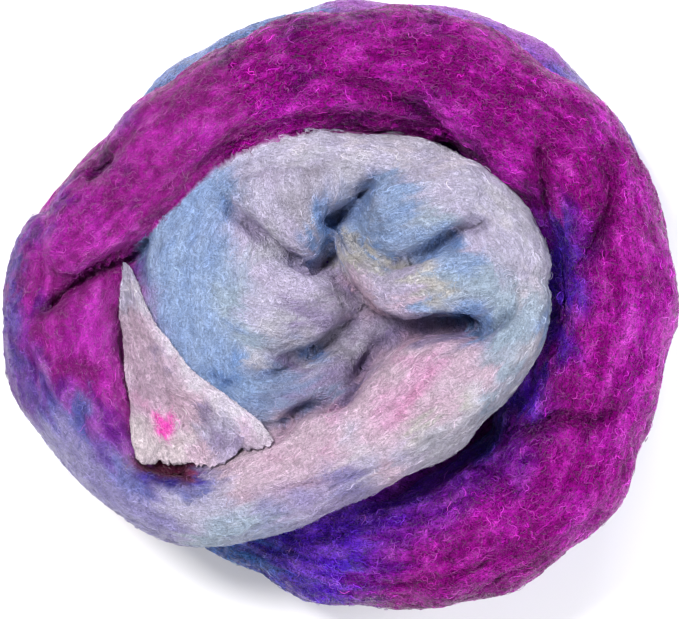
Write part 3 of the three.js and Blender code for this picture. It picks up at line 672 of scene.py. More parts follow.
def soften(mesh, passes, share=0.5):
    """Evens out a skin."""
    ends = read(mesh.edges, "vertices", 2, np.int32)
    count = np.bincount(ends.ravel(), minlength=len(mesh.vertices))[:, None]
    p = points_of(mesh)
    for _ in range(passes):
        total = np.zeros_like(p)
        np.add.at(total, ends[:, 0], p[ends[:, 1]])
        np.add.at(total, ends[:, 1], p[ends[:, 0]])
        p += share * (total / count - p)
    set_points(mesh, p)


def press(mesh, creases, chosen):
    """Presses creases into the upper side at the chosen points, and draws the silk towards them.

    Returns how deep each point went.
    """
    p = points_of(mesh)
    n = normals_of(mesh)
    upper = np.clip(n[:, 2] * 1.6 + 0.25, 0, 1) * np.clip((p[:, 2] - CREASE_FLOOR) / 10, 0, 1) * chosen
    move = np.zeros_like(p)
    sunk = np.zeros(len(p))
    for _, half, depth, path in creases:
        line = smooth_curve(path, np.linspace(0, len(path) - 1, 10 * len(path))) + (MIDDLE_X, MIDDLE_Y)
        low, high = line.min(axis=0) - 4 * half, line.max(axis=0) + 4 * half
        near = np.nonzero(np.all((p[:, :2] > low) & (p[:, :2] < high), axis=1) & (upper > 0))[0]
        if not len(near):
            continue
        gap = p[near, None, :2] - line[None]
        nearest = np.einsum("ijk,ijk->ij", gap, gap).argmin(axis=1)
        towards = line[nearest] - p[near, :2]
        far = np.linalg.norm(towards, axis=1)
        place = nearest / (len(line) - 1)
        taper = np.clip(np.minimum(place, 1 - place) / 0.22, 0.12, 1) ** 0.7
        deep = depth * taper * np.exp(-(far / half) ** 1.35) * upper[near]
        move[near] -= n[near] * deep[:, None] * 0.55
        move[near, 2] -= deep * 0.45
        sunk[near] = np.maximum(sunk[near], depth * taper * np.exp(-(far / half / 0.9) ** 2) * upper[near])
        if depth > 0:
            draw = 0.34 * taper * np.exp(-(far / (2.2 * half)) ** 2) * upper[near]
            move[near, :2] += towards * draw[:, None]
    set_points(mesh, p + move)
    return sunk


def crinkle(mesh, along, across, rough, sizes, seed):
    """Soft lumps, and wrinkles that run with the strand and wander across it."""
    p = points_of(mesh)
    n = normals_of(mesh)
    wander = 2.4 * swell(p, 9, seed) + 1.0 * swell(p, 4, seed + 1)
    lane = lanes_at(along / 13, (across + wander) / 2.3)
    fine = lanes_at(along / 5.5, (across + 1.4 * wander) / 1.1, 1)
    high = sizes.lump / MM * (swell(p, 10, seed + 2) + 0.55 * swell(p, 5.2, seed + 3))
    high += sizes.wrinkle / MM * (0.7 - 2.0 * np.abs(swell(lane, 1, seed + 4)))
    high += 0.42 * sizes.wrinkle / MM * (0.7 - 2.0 * np.abs(swell(fine, 1, seed + 5)))
    cells = 0.6 - 2.0 * np.abs(swell(p + 0.8 * swell(p, 3, seed + 8)[:, None], 2.8, seed + 6))
    high += sizes.crumple / MM * rough * (cells + 0.4 * swell(p, 1.6, seed + 7))
    calm = 0.25 + 0.75 * np.clip(n[:, 2] * 1.3 + 0.1, 0, 1)
    set_points(mesh, p + n * (high * calm)[:, None])


def follow(points, strands):
    """Coordinates of points on each strand, and the strand each one belongs to."""
    found = [s.around(points) for s in strands]
    owner = np.argmin(np.stack([f[3] for f in found]), axis=0)
    row = np.arange(len(points))
    along = np.stack([f[0] for f in found])
    across = np.stack([f[1] for f in found])
    way = np.stack([f[2] for f in found])[owner, row]
    return along, across, owner, way


def set_lanes(mesh, along, across, owner):
    """The UV map that runs with the strands: along, and round from the crown, in decimetres."""
    corners = read(mesh.loops, "vertex_index", kind=np.int32)
    start = read(mesh.polygons, "loop_start", kind=np.int32)
    count = read(mesh.polygons, "loop_total", kind=np.int32)
    face = np.repeat(np.arange(len(start)), count)
    who = owner[corners[start]][face]
    u = along[who, corners]
    v = across[who, corners]
    first = v[start][face]
    v = np.where(v - first > GIRTH / 2, v - GIRTH, np.where(first - v > GIRTH / 2, v + GIRTH, v))
    layer = mesh.uv_layers.new(name="lanes")
    layer.data.foreach_set("uv", np.stack([u, v], axis=1).ravel() / 100)


def dyed(xy, table, dyes):
    """The colour at x, y, blended between the patches of a table: dye, and painted shade and highlight where
    the table holds them.
    """
    total = np.zeros((len(xy), 3))
    weight = np.zeros((len(xy), 1))
    fall = 1.6 if table is UNDER_DYE else 2.4  # the hidden turn has few patches, so they blend wider
    for name, spots in table:
        colour = np.array(getattr(dyes, name))
        for x, y, r in spots:
            far = ((xy[:, 0] - x - MIDDLE_X) ** 2 + (xy[:, 1] - y - MIDDLE_Y) ** 2) / r ** 2
            w = (1 / (1 + far) ** fall)[:, None]
            total += w * colour
            weight += w
    return total / weight


def uptake_and_crease_shade(points, colours, along, across, sunk, seed):
    """How strongly each point has taken its dye, in blotches and in lanes, and how much painted shade darkens
    it in the creases.
    """
    lane = lanes_at(along / 7, across / 1.2)
    pool = 0.5 - 2.2 * np.abs(swell(points + 1.1 * swell(points, 4, seed + 4)[:, None], 3.4, seed + 1))
    blotch = 0.15 * swell(points, 8, seed) - 0.12 * pool + 0.28 * swell(points, 1.6, seed + 2)
    blotch += 0.38 * swell(lane, 1, seed + 3)
    deep = np.clip(1 - colours[:, 1] / 0.22, 0.26, 1)  # pale silk took little dye, so it is more even
    # painted shade: the colour is darker where the creases sank
    return np.exp(0.1 * deep + blotch * deep) * (1 + 0.25 * np.clip(sunk, -0.6, 5))


def set_dye(mesh, colours):
    """Keeps the colour, dye with its painted shade and highlight, as the mesh's colour attribute."""
    layer = mesh.color_attributes.new("dye", "FLOAT_COLOR", "POINT")
    layer.data.foreach_set("color", np.hstack([colours, np.ones((len(colours), 1))]).ravel())


def set_way(mesh, way):
    """Keeps the strand's direction at each point."""
    layer = mesh.attributes.new("way", "FLOAT_VECTOR", "POINT")
    layer.data.foreach_set("vector", np.hstack([way, np.zeros((len(way), 1))]).ravel())


def smear(points, along, across, way, seed):
    """Where each point takes its dye from: streaks that run with the strand."""
    lane = lanes_at(along / 22, across / 1.2)
    broad = lanes_at(along / 12, across / 4, 1)
    ahead = 3.2 * swell(lane, 1, seed) + 2.2 * swell(broad, 1, seed + 1)
    aside = 1.3 * swell(points, 5, seed + 2) + 0.6 * swell(points, 2, seed + 3)
    side = np.stack([way[:, 1], -way[:, 0]], axis=1)
    return points[:, :2] + way * ahead[:, None] + side * aside[:, None]


def finish_skin(piece, strands, looks, seed, sizes, dyes):
    """Crinkle, creases, lanes and colour of one skin: its dye, darkened in the creases as painted shade.
    looks gives each strand's creases and colour table.
    """
    mesh = piece.data
    along, across, owner, way = follow(points_of(mesh), strands)
    row = np.arange(len(owner))
    kinds = []
    for look in looks:
        if look not in kinds:
            kinds.append(look)
    kind = np.array([kinds.index(look) for look in looks])[owner]
    rough = np.where(np.array([look[1] is OUTER_DYE_AND_PAINTED_LIGHT for look in looks])[owner], 1, PALE_ROUGH)
    s, t = along[owner, row], across[owner, row]
    crinkle(mesh, s, t, rough, sizes, seed)
    sunk = np.zeros(len(owner))
    for k, (creases, _) in enumerate(kinds):
        sunk = np.maximum(sunk, press(mesh, creases, kind == k))
    set_lanes(mesh, along, across, owner)
    taken = smear(points_of(mesh), s, t, way, seed + 20)
    colours = np.empty((len(owner), 3))
    for k, (_, table) in enumerate(kinds):
        colours[kind == k] = dyed(taken[kind == k], table, dyes)
    strength = uptake_and_crease_shade(points_of(mesh), colours, s, t, sunk, seed + 40)
    # strength is the dye's uptake together with the painted shade of the creases
    set_dye(mesh, colours ** np.minimum(strength, DEEPEST_DYE_AND_SHADE)[:, None])
    set_way(mesh, way)


# Materials

def add_node(tree, kind, links=None, **settings):
    """A node with its settings and the sockets it is fed from."""
    made = tree.nodes.new(kind)
    for name, value in settings.items():
        socket = name.replace("_", " ").title()
        if hasattr(made, name):
            setattr(made, name, value)
        else:
            made.inputs[socket].default_value = value
    for socket, source in (links or {}).items():
        tree.links.new(source, made.inputs[socket])
    return made


def new_material(name):
    """An empty material and its node tree."""
    made = bpy.data.materials.get(name) or bpy.data.materials.new(name)
    made.use_nodes = True
    made.node_tree.nodes.clear()
    return made, made.node_tree


def silk_shader(tree, dye, tone, links, roughness, gloss):
    """The shader of silk, coloured by its dye times a tone, which on the skins is painted highlight and
    painted shade, and its output.
    """
    shade = add_node(tree, "ShaderNodeVectorMath", {0: dye.outputs["Color"], "Scale": tone.outputs[0]},
                     operation="SCALE")
    shader = add_node(tree, "ShaderNodeBsdfPrincipled", {"Base Color": shade.outputs["Vector"], **links})
    shader.inputs["Roughness"].default_value = roughness
    shader.inputs["IOR"].default_value = SILK_IOR
    shader.inputs["Specular IOR Level"].default_value = gloss
    add_node(tree, "ShaderNodeOutputMaterial", {"Surface": shader.outputs["BSDF"]})
    return shader


def silk_skin(name, roughness, gloss, tint, dark, light, depth):
    """Degummed mulberry silk, combed and dyed, as a matted skin of crinkled filaments.

    The filaments are smooth and nearly round, so they shine in short streaks along the crinkle,
    and the dye runs with them. Real filaments are 0.015 mm thick, too fine to show here, so the
    streaks stand for wisps of about 0.35 mm, and the curls for the crimp of 1 to 2 mm.
    """
    made, tree = new_material(name)
    dye = add_node(tree, "ShaderNodeAttribute", attribute_name="dye")
    lanes = add_node(tree, "ShaderNodeUVMap", uv_map="lanes")
    place = add_node(tree, "ShaderNodeTexCoord")
    wisps = add_node(tree, "ShaderNodeMapping", {"Vector": lanes.outputs["UV"]})
    wisps.inputs["Scale"].default_value = (30, 150, 1)
    streak = add_node(tree, "ShaderNodeTexNoise", {"Vector": wisps.outputs["Vector"]},
                      scale=1.0, detail=2.0, roughness=0.6, distortion=1.8)
    curl = add_node(tree, "ShaderNodeTexNoise", {"Vector": place.outputs["Object"]},
                    scale=620.0, detail=1.5, roughness=0.6, distortion=2.4)
    crimp = add_node(tree, "ShaderNodeTexNoise", {"Vector": place.outputs["Object"]},
                     scale=1800.0, detail=1.0, roughness=0.5, distortion=1.5)
    folds = []
    for noise, low, high in ((streak, 0.34, 0.5), (curl, 0.36, 0.5), (crimp, 0.3, 0.5)):
        # each crest of the noise, where it crosses its middle, is the top of a wisp
        fold = add_node(tree, "ShaderNodeMath", {0: noise.outputs["Fac"]}, operation="PINGPONG")
        fold.inputs[1].default_value = 0.5
        folds.append(add_node(tree, "ShaderNodeMapRange", {"Value": fold.outputs[0]},
                              from_min=low, from_max=high))
    pair = add_node(tree, "ShaderNodeMath", {0: folds[0].outputs[0], 1: folds[1].outputs[0]},
                    operation="ADD")
    height = add_node(tree, "ShaderNodeMath", {0: folds[2].outputs[0], 2: pair.outputs[0]},
                      operation="MULTIPLY_ADD")
    height.inputs[1].default_value = 0.45
    # painted light: the colour is lighter on the crests of the wisps as painted highlight, and darker between
    # them as painted shade
    tone = add_node(tree, "ShaderNodeMapRange", {"Value": height.outputs[0]},
                    from_min=0.3, from_max=2.2, to_min=dark, to_max=light)
    bump = add_node(tree, "ShaderNodeBump", {"Height": height.outputs[0]}, strength=1.0, distance=depth)
    shader = silk_shader(tree, dye, tone, {"Normal": bump.outputs["Normal"]}, roughness, gloss)
    # light that passes through the round filaments comes back with some of the dye
    shader.inputs["Specular Tint"].default_value = (*linear(tint), 1)
    return made


def dyed_skin():
    """The skin of the deeply dyed turns."""
    # strong painted shade between the wisps, down to 0.16, and painted highlight on their crests, up to 1.9
    return silk_skin("dyed mulberry silk sliver", 0.27, 0.55, "#FF9CF4", 0.16, 1.9, 0.45 * MM)


def silk_filament(name, roughness, gloss):
    """Reeled mulberry silk filament, dyed: smooth and bright, with a sharp streak of light."""
    made, tree = new_material(name)
    dye = add_node(tree, "ShaderNodeAttribute", attribute_name="dye")
    place = add_node(tree, "ShaderNodeTexCoord")
    uneven = add_node(tree, "ShaderNodeTexNoise", {"Vector": place.outputs["Object"]},
                      scale=420.0, detail=1.0, roughness=0.5)
    tone = add_node(tree, "ShaderNodeMapRange", {"Value": uneven.outputs["Fac"]},
                    from_min=0.3, from_max=0.7, to_min=0.82, to_max=1.15)
    silk_shader(tree, dye, tone, {}, roughness, gloss)
    return made


def matte_paper(name, colour):
    """Seamless background paper: uncoated, so quite matt, with a faint tooth."""
    made, tree = new_material(name)
    place = add_node(tree, "ShaderNodeTexCoord")
    tooth = add_node(tree, "ShaderNodeTexNoise", {"Vector": place.outputs["Object"]}, scale=900.0, detail=2.0)
    bump = add_node(tree, "ShaderNodeBump", {"Height": tooth.outputs["Fac"]}, strength=0.05, distance=0.0001)
    shader = add_node(tree, "ShaderNodeBsdfPrincipled", {"Normal": bump.outputs["Normal"]})
    shader.inputs["Base Color"].default_value = (*colour, 1)
    shader.inputs["Roughness"].default_value = 0.9
    add_node(tree, "ShaderNodeOutputMaterial", {"Surface": shader.outputs["BSDF"]})
    return made


# Filaments

def filament_winder():
    """Geometry Nodes that give each traced line a tapered, closed, three-sided body."""
    tree = bpy.data.node_groups.get("filament_winder")
    if tree:
        return tree
    tree = bpy.data.node_groups.new("filament_winder", "GeometryNodeTree")
    tree.is_modifier = True
    for name, kind in (("Lines", "NodeSocketGeometry"), ("Thickness", "NodeSocketFloat"),
                       ("Sides", "NodeSocketInt"), ("Finish", "NodeSocketMaterial")):
        tree.interface.new_socket(name, in_out="INPUT", socket_type=kind)
    tree.interface.new_socket("Filaments", in_out="OUTPUT", socket_type="NodeSocketGeometry")
    given = add_node(tree, "NodeGroupInput")
    lines = add_node(tree, "GeometryNodeMeshToCurve", {"Mesh": given.outputs["Lines"]})
    taper = add_node(tree, "GeometryNodeInputNamedAttribute", data_type="FLOAT")
    taper.inputs["Name"].default_value = "taper"
    radius = add_node(tree, "ShaderNodeMath", {0: taper.outputs["Attribute"], 1: given.outputs["Thickness"]},
                      operation="MULTIPLY")
    ring = add_node(tree, "GeometryNodeCurvePrimitiveCircle", {"Resolution": given.outputs["Sides"]})
    ring.inputs["Radius"].default_value = 0.5
    body = add_node(tree, "GeometryNodeCurveToMesh",
                    {"Curve": lines.outputs["Curve"], "Profile Curve": ring.outputs["Curve"],
                     "Scale": radius.outputs[0]})
    body.inputs["Fill Caps"].default_value = True
    real = add_node(tree, "GeometryNodeRealizeInstances", {"Geometry": body.outputs["Mesh"]})
    dressed = add_node(tree, "GeometryNodeSetMaterial",
                       {"Geometry": real.outputs["Geometry"], "Material": given.outputs["Finish"]})
    add_node(tree, "NodeGroupOutput", {"Filaments": dressed.outputs["Geometry"]})
    return tree


def wind(name, lines, tapers, colours, thickness, finish):
    """A plain mesh of filaments from lines, an array of filaments by points by x, y, z in millimetres."""
    count, steps, _ = lines.shape
    mesh = bpy.data.meshes.new(name + "_lines")
    first = np.arange(count)[:, None] * steps + np.arange(steps - 1)[None]
    mesh.from_pydata(lines.reshape(-1, 3) * MM, np.stack([first.ravel(), first.ravel() + 1], axis=1), [])
    taper = mesh.attributes.new("taper", "FLOAT", "POINT")
    taper.data.foreach_set("value", tapers.ravel())
    dye = mesh.attributes.new("dye", "FLOAT_COLOR", "POINT")
    dye.data.foreach_set("color", np.concatenate([colours, np.ones((count, steps, 1))], axis=2).ravel())
    lined = put_in_scene(name + "_lines", mesh)
    modifier = lined.modifiers.new("filaments", "NODES")
    tree = filament_winder()
    modifier.node_group = tree
    given = {"Thickness": thickness, "Sides": 3, "Finish": finish}
    for item in tree.interface.items_tree:
        if item.in_out == "INPUT" and item.name in given:
            modifier[item.identifier] = given[item.name]
    lined.update_tag()
    body = evaluated(lined)
    body.name = name
    shade_smooth(body)
    return put_in_scene(name, body)


def trace(piece, count, step, steps, spread, weight, rng):
    """Lines that wander over a skin, mostly with its strands, with the way of each."""
    mesh = piece.data
    mesh.calc_loop_triangles()
    corners = read(mesh.loop_triangles, "vertices", 3, np.int32)
    p = points_of(mesh)
    way = read(mesh.attributes["way"].data, "vector", 3)
    a, b, c = (p[corners[:, k]] for k in range(3))
    cross = np.cross(b - a, c - a)
    area = np.linalg.norm(cross, axis=1) / 2
    out = cross / np.maximum(area[:, None] * 2, 1e-9)
    chance = area * weight((a + b + c) / 3, out)
    pick = rng.choice(len(area), count, p=chance / chance.sum())
    u, v = rng.random((2, count))
    flip = u + v > 1
    u, v = np.where(flip, 1 - u, u), np.where(flip, 1 - v, v)
    start = a[pick] + (b - a)[pick] * u[:, None] + (c - a)[pick] * v[:, None]
    tree = BVHTree.FromPolygons(p.tolist(), corners.tolist())
    ways = way[corners[:, 0]]
    lines = np.empty((count, steps, 3))
    ups = np.empty((count, steps, 3))
    faces = np.empty((count, steps), int)
    lean = rng.normal(0, spread, count)
    wave = rng.uniform(0.4, 2.0, count)
    pace = rng.uniform(0.8, 2.4, count)
    phase = rng.uniform(0, 6.28, count)
    for i in range(count):
        at = Vector(start[i])
        normal = Vector(out[pick[i]])
        face = pick[i]
        for j in range(steps):
            lines[i, j] = at
            ups[i, j] = normal
            faces[i, j] = face
            ahead = Vector(ways[face])
            ahead -= normal * ahead.dot(normal)
            if ahead.length < 0.05:
                ahead = normal.orthogonal()
            ahead.normalize()
            side = normal.cross(ahead)
            turn = lean[i] + wave[i] * math.sin(j * pace[i] + phase[i])
            target = at + (ahead * math.cos(turn) + side * math.sin(turn)) * step
            at, normal, face, _ = tree.find_nearest(target)
    return lines, ups, corners[faces, 0]


def lay_filaments(name, piece, count, finish, spread, pale, vivid, weight, seed, sizes):
    """Filaments over one skin, each coloured as the skin is at one of its ends, painted shade and highlight
    included.
    """
    steps, lift = FILAMENT_POINTS, 0.09
    rng = np.random.default_rng(seed)
    lines, ups, below = trace(piece, count, sizes.filament_step / MM, steps, spread, weight, rng)
    arch = np.sin(np.pi * np.linspace(0, 1, steps))[None]
    high = rng.gamma(1.6, lift / 1.6, count)[:, None] * (0.35 + 0.65 * arch) + 0.02
    lines = lines + ups * high[..., None]
    lines[..., 2] = np.maximum(lines[..., 2], 0.2)
    skin = read(piece.data.color_attributes["dye"].data, "color", 4)[:, :3]
    end = np.where(rng.random(count) < 0.5, 0, steps - 1)
    colour = skin[below[np.arange(count), end]]
    tone = np.exp(rng.normal(0.0, vivid, (count, 1)))
    white = np.clip(rng.normal(pale, pale, (count, 1)), 0, 0.5)
    colour = np.clip(colour * tone * (1 - white) + white * 0.8, 0, 0.95)
    taper = np.minimum(1, 0.35 + 1.6 * arch) * rng.uniform(0.55, 1.25, (count, 1))
    colours = np.repeat(colour[:, None], steps, axis=1)
    return wind(name, lines, taper, colours, sizes.filament_thickness, finish)


def above(middles, out):
    """Filaments on top and on the walls, hardly any below."""
    return np.clip(out[:, 2] + 0.5, 0.02, 1.1) ** 1.2


def at_the_rim(middles, out):
    """Filaments of the lower coil, only where it shows."""
    far = np.hypot(middles[:, 0] / 76, middles[:, 1] / 70)
    return np.clip(out[:, 2] + 0.8, 0.05, 1) * (far > 0.82) + 0.01


def rest_on_floor(piece):
    """Flattens what would reach below the surface that the bun lies on."""
    p = points_of(piece.data)
    p[:, 2] = np.maximum(p[:, 2], 0)
    set_points(piece.data, p)


def finish_piece(piece, material, node):
    """Gives a piece its finish, hides the node that it stands for, and gives it the body that it rides on."""
    if material:
        piece.data.materials.clear()
        piece.data.materials.append(material)
    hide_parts(node)
    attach(piece, "root")


# Operators

class SILK_OT_outer_turn(bpy.types.Operator):
    """Make the magenta and violet upper turn"""
    bl_idname = "silk.outer_turn"
    bl_label = "Upper turn"

    def execute(self, context):
        sizes, dyes = context.scene.silk_sizes, context.scene.silk_dyes
        verts, faces, _, _ = sweep(Strand(OUTER_TURN[:20] + OUTER_TAIL), sizes.turn_pitch / MM)
        piece = add_mesh("outer_turn", verts, faces)
        finish_skin(piece, [Strand(OUTER_TURN)], [(OUTER_CREASES, OUTER_DYE_AND_PAINTED_LIGHT)], 3, sizes, dyes)
        rest_on_floor(piece)
        finish_piece(piece, dyed_skin(), "silk_roll")
        return {"FINISHED"}


class SILK_OT_pale_core(bpy.types.Operator):
    """Make the pale band, the inner turn and the folds of the middle"""
    bl_idname = "silk.pale_core"
    bl_label = "Pale core"

    def execute(self, context):
        sizes, dyes = context.scene.silk_sizes, context.scene.silk_dyes
        strands = [Strand(rows) for rows in (PALE_BAND, INNER_TURN, *FOLDS.values())]
        slanting = [Strand(OUTER_LEAD + OUTER_TURN[20:]), Strand(RIM)]
        piece = fuse("pale_core", strands + slanting, PACKING, sizes.core_pitch)
        soften(piece.data, 3)
        p = points_of(piece.data) - (MIDDLE_X, MIDDLE_Y, 0)
        rim = np.clip(1.5 - np.hypot((p[:, 0] + 71) / 5, (p[:, 1] - 3) / 12), 0, 1)
        soften(piece.data, 40, 0.5 * rim[:, None])
        looks = [(CORE_CREASES, PALE_DYE_AND_SHADE)] * len(strands) + [(OUTER_CREASES, OUTER_DYE_AND_PAINTED_LIGHT)] * 2
        finish_skin(piece, strands + [Strand(OUTER_TURN), slanting[1]], looks, 3, sizes, dyes)
        finish = silk_skin("pale mulberry silk sliver", 0.32, 0.5, "#FFFFFF", 0.74, 1.36, 0.3 * MM)
        finish_piece(piece, finish, "silk_roll")
        return {"FINISHED"}


class SILK_OT_under_coil(bpy.types.Operator):
    """Make the lower coil, which shows past the upper turn"""
    bl_idname = "silk.under_coil"
    bl_label = "Lower coil"

    def execute(self, context):
        sizes, dyes = context.scene.silk_sizes, context.scene.silk_dyes
        strands = [Strand(rows) for rows in (UNDER_TURN, UNDER_CORE, UNDER_EYE)]
        piece = fuse("under_coil", strands, [HEART], sizes.under_pitch)
        soften(piece.data, 2)
        finish_skin(piece, strands, [([], UNDER_DYE)] * len(strands), 31, sizes, dyes)
        rest_on_floor(piece)
        finish_piece(piece, dyed_skin(), "silk_roll")
        return {"FINISHED"}


class SILK_OT_loose_end(bpy.types.Operator):
    """Lay the torn end over the core"""
    bl_idname = "silk.loose_end"
    bl_label = "Loose end"

    def execute(self, context):
        sizes, dyes = context.scene.silk_sizes, context.scene.silk_dyes
        across, along = 64, 104
        v = np.linspace(0, 1, along)
        sides = [smooth_curve([r[c:c + 2] for r in END_ROWS], v * (len(END_ROWS) - 1)) for c in (0, 2, 4)]
        u = np.linspace(0, 1, across)
        left, mid, right = (s[:, None] for s in sides)
        w = u[None, :, None]
        plan = left * (1 - w) * (1 - 2 * w) + mid * 4 * w * (1 - w) + right * w * (2 * w - 1)
        tear = np.interp(u * (len(TEAR) - 1), np.arange(len(TEAR)), TEAR)
        tear += 0.8 * swell(lanes_at(u * 24, u * 0), 1, 5)
        tear += 0.5 * swell(lanes_at(u * 60, u * 0), 1, 6)
        plan[..., 1] -= tear[None] * v[:, None] ** 6
        hem = 0.25 * swell(lanes_at(v * 11, v * 0, 2), 1, 7)
        plan[..., 0] += hem[:, None] * np.abs(2 * u[None] - 1) ** 6
        plan += (MIDDLE_X, MIDDLE_Y)
        trees = []
        for name in ("pale_core", "outer_turn", "under_coil"):
            mesh = bpy.data.objects[name].data
            faces = [tuple(p.vertices) for p in mesh.polygons]
            trees.append(BVHTree.FromPolygons(points_of(mesh).tolist(), faces))
        floor = np.zeros((along, across))
        for j in range(along):
            for i in range(across):
                x, y = plan[j, i]
                tops = [t.ray_cast(Vector((x + dx, y + dy, 200)), Vector((0, 0, -1)))[0]
                        for t in trees for dx, dy in ((0, 0), (0.7, 0), (-0.7, 0), (0, 0.7), (0, -0.7))]
                floor[j, i] = max(t.z for t in tops if t) + 0.35
        bottom = floor.copy()
        for _ in range(160):
            padded = np.pad(bottom, 1, mode="edge")
            mean = (padded[:-2, 1:-1] + padded[2:, 1:-1] + padded[1:-1, :-2] + padded[1:-1, 2:]) / 4
            bottom = np.maximum(floor, mean)
        uu, vv = np.meshgrid(u, v)
        low = np.clip((vv - 0.66) / 0.1, 0, 1)  # below the part where the end splits into two tufts
        ridge = 1.5 * np.exp(-((uu - 0.78) / 0.12) ** 2) * np.clip(vv / 0.12, 0, 1) * (1 - low)
        curl = 2.2 * np.exp(-((uu - 0.9 + 0.3 * (vv - 0.85)) / 0.09) ** 2) * low
        groove = -2.2 * np.exp(-((uu - 0.58) / 0.045) ** 2) * low
        tuft = 0.9 * np.exp(-((uu - 0.3) / 0.2) ** 2) * low
        lane = lanes_at(vv.ravel() * 4.5, uu.ravel() * 9 + 0.8 * np.sin(vv.ravel() * 7))
        wrinkle = 0.6 * (0.6 - 2 * np.abs(swell(lane, 1, 8))).reshape(uu.shape)
        grid = np.dstack([plan, uu * 0]).reshape(-1, 3)
        crumple = 0.5 * (0.6 - 2 * np.abs(swell(grid, 2.4, 9))) + 0.3 * swell(grid, 1.2, 10)
        crumple = crumple.reshape(uu.shape)
        border = np.minimum(np.minimum(uu * 7, (1 - uu) * 3), np.minimum(vv * 10, (1 - vv) * 14))
        thick = 0.4 + (1.3 + ridge + curl + groove + tuft + wrinkle + crumple) * np.clip(border, 0, 1) ** 0.6
        thick = np.maximum(thick, 0.3)
        lower = np.dstack([plan, bottom])
        upper = np.dstack([plan, bottom + thick])
        verts = np.vstack([upper.reshape(-1, 3), lower.reshape(-1, 3)])
        n = along * across
        at = np.arange(n).reshape(along, across)
        a, b, c, d = at[:-1, :-1].ravel(), at[1:, :-1].ravel(), at[1:, 1:].ravel(), at[:-1, 1:].ravel()
        faces = np.stack([a, b, c, d], axis=1).tolist() + (np.stack([a, d, c, b], axis=1) + n).tolist()
        rim = np.concatenate([at[:, 0], at[-1, 1:], at[-2::-1, -1], at[0, -2:0:-1]])
        nxt = np.roll(rim, -1)
        faces += np.stack([rim, rim + n, nxt + n, nxt], axis=1).tolist()
        piece = add_mesh("loose_end_sheet", verts, faces)
        way = np.gradient(plan, axis=0)
        way /= np.linalg.norm(way, axis=2)[..., None]
        way = np.vstack([way.reshape(-1, 2)] * 2)
        s = np.concatenate([vv.ravel() * 45] * 2)
        t = np.concatenate([uu.ravel() * 19] * 2)
        mesh = piece.data
        taken = smear(points_of(mesh), s, t, way, 51)
        taken = taken * 0.35 + points_of(mesh)[:, :2] * 0.65
        set_dye(mesh, dyed(taken, END_DYE_AND_SHADE, dyes))
        set_lanes(mesh, s[None], t[None], np.zeros(len(s), int))
        set_way(mesh, way)
        finish = silk_skin("torn mulberry silk end", 0.32, 0.5, "#FFFFFF", 0.8, 1.4, 0.3 * MM)
        finish_piece(piece, finish, "loose_end")
        return {"FINISHED"}


class SILK_OT_filaments(bpy.types.Operator):
    """Lay the filaments over every skin"""
    bl_idname = "silk.filaments"
    bl_label = "Filaments"

    def execute(self, context):
        sizes = context.scene.silk_sizes
        bright = silk_filament("dyed mulberry silk filament", 0.28, 0.4)
        pale = silk_filament("pale mulberry silk filament", 0.34, 0.45)
        upper, core = sizes.upper_filaments // 2, sizes.pale_filaments // 2
        rows = [
            # name, skin, how many, finish, spread, paleness, unevenness, where it shows
            ("filaments_upper_a", "outer_turn", upper, bright, 0.5, 0.0, 0.6, above),
            ("filaments_upper_b", "outer_turn", upper, bright, 1.1, 0.02, 0.6, above),
            ("filaments_core_a", "pale_core", core, pale, 0.9, 0.02, 0.2, above),
            ("filaments_core_b", "pale_core", core, pale, 1.6, 0.04, 0.22, above),
            ("filaments_under", "under_coil", sizes.under_filaments, bright, 0.3, 0.0, 0.3, at_the_rim),
            ("filaments_end", "loose_end_sheet", sizes.end_filaments, pale, 1.0, 0.02, 0.2, above),
        ]
        for seed, (name, skin, *look) in enumerate(rows, 101):
            made = lay_filaments(name, bpy.data.objects[skin], *look, seed, sizes)
            node = "loose_end" if skin == "loose_end_sheet" else "silk_roll"
            finish_piece(made, None, node)
        return {"FINISHED"}


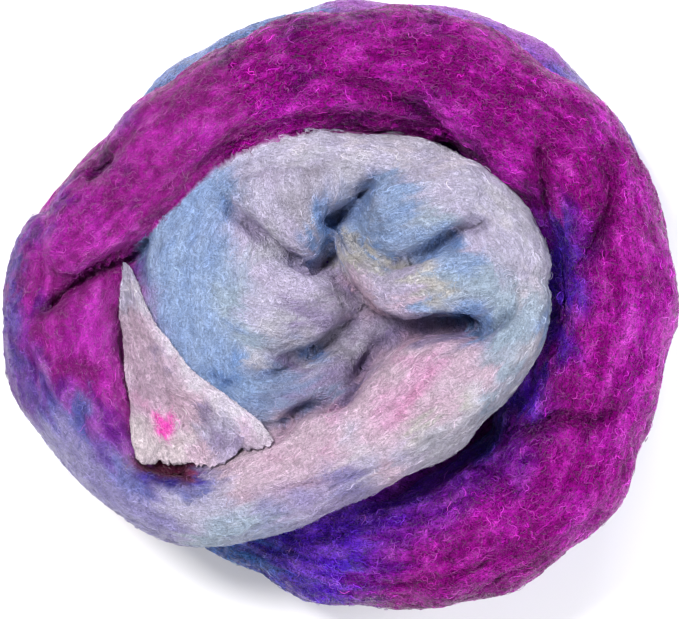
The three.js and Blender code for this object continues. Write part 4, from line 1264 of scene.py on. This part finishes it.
class SILK_OT_stage(bpy.types.Operator):
    """Make the pale floor, the soft lights and the camera"""
    bl_idname = "silk.stage"
    bl_label = "Stage"

    def execute(self, context):
        scene = context.scene
        side = 1600  # mm from the middle
        corners = [(-side, -side, 0), (side, -side, 0), (side, side, 0), (-side, side, 0)]
        floor = add_mesh("floor", corners, [(0, 1, 2, 3)])
        floor.data.materials.append(matte_paper("white background paper", linear("#F4F4F6")))
        lights = [
            # name, place, size, power, colour
            ("key", (-0.3, 0.28, 0.8), 0.22, 8.6, "#FFFDFA"),
            ("fill", (0.6, 0.0, 0.55), 0.35, 4.2, "#F8FAFF"),
            ("front", (0.05, -0.6, 0.65), 0.3, 3.0, "#FFFFFF"),
            ("back", (0.15, 0.6, 0.6), 0.2, 2.0, "#FFFFFF"),
        ]
        for name, place, size, power, colour in lights:
            data = bpy.data.lights.new(name, "AREA")
            data.size = size
            data.energy = power
            data.color = linear(colour)
            light = bpy.data.objects.new(name, data)
            light.location = place
            light.rotation_mode = "QUATERNION"
            light.rotation_quaternion = (Vector((0, 0, 0.02)) - Vector(place)).to_track_quat("-Z", "Y")
            scene.collection.objects.link(light)
        world = bpy.data.worlds.new("studio")
        world.use_nodes = True
        world.node_tree.nodes["Background"].inputs["Color"].default_value = (1, 1, 1, 1)
        world.node_tree.nodes["Background"].inputs["Strength"].default_value = 0.25
        scene.world = world
        data = bpy.data.cameras.new("camera")
        data.sensor_width = 36
        data.lens = 157.75
        data.clip_start, data.clip_end = 0.01, 20
        camera = bpy.data.objects.new("camera", data)
        camera.location = (MIDDLE_X * MM, MIDDLE_Y * MM, 0.7)
        scene.collection.objects.link(camera)
        scene.camera = camera
        scene.view_settings.view_transform = "Standard"
        return {"FINISHED"}


class SILK_PT_panel(bpy.types.Panel):
    """The silk's sizes, dyes and pieces"""
    bl_idname = "SILK_PT_panel"
    bl_label = "Wound silk sliver"
    bl_space_type = "VIEW_3D"
    bl_region_type = "UI"
    bl_category = "Silk"

    def draw(self, context):
        layout = self.layout
        for operator in OPERATORS:
            layout.operator(operator.bl_idname)
        for group in (context.scene.silk_sizes, context.scene.silk_dyes):
            box = layout.box()
            for key in group.__annotations__:
                box.prop(group, key)


OPERATORS = (SILK_OT_outer_turn, SILK_OT_pale_core, SILK_OT_under_coil, SILK_OT_loose_end,
             SILK_OT_filaments, SILK_OT_stage)
CLASSES = (SilkSizes, SilkPalette, *OPERATORS, SILK_PT_panel)


def register():
    for made in CLASSES:
        bpy.utils.register_class(made)
    bpy.types.Scene.silk_sizes = bpy.props.PointerProperty(type=SilkSizes)
    bpy.types.Scene.silk_dyes = bpy.props.PointerProperty(type=SilkPalette)


def unregister():
    del bpy.types.Scene.silk_dyes
    del bpy.types.Scene.silk_sizes
    for made in reversed(CLASSES):
        bpy.utils.unregister_class(made)


def main():
    register()
    bpy.ops.silk.outer_turn()
    bpy.ops.silk.pale_core()
    bpy.ops.silk.under_coil()
    bpy.ops.silk.loose_end()
    bpy.ops.silk.filaments()
    bpy.ops.silk.stage()


if __name__ == "__main__":
    main()
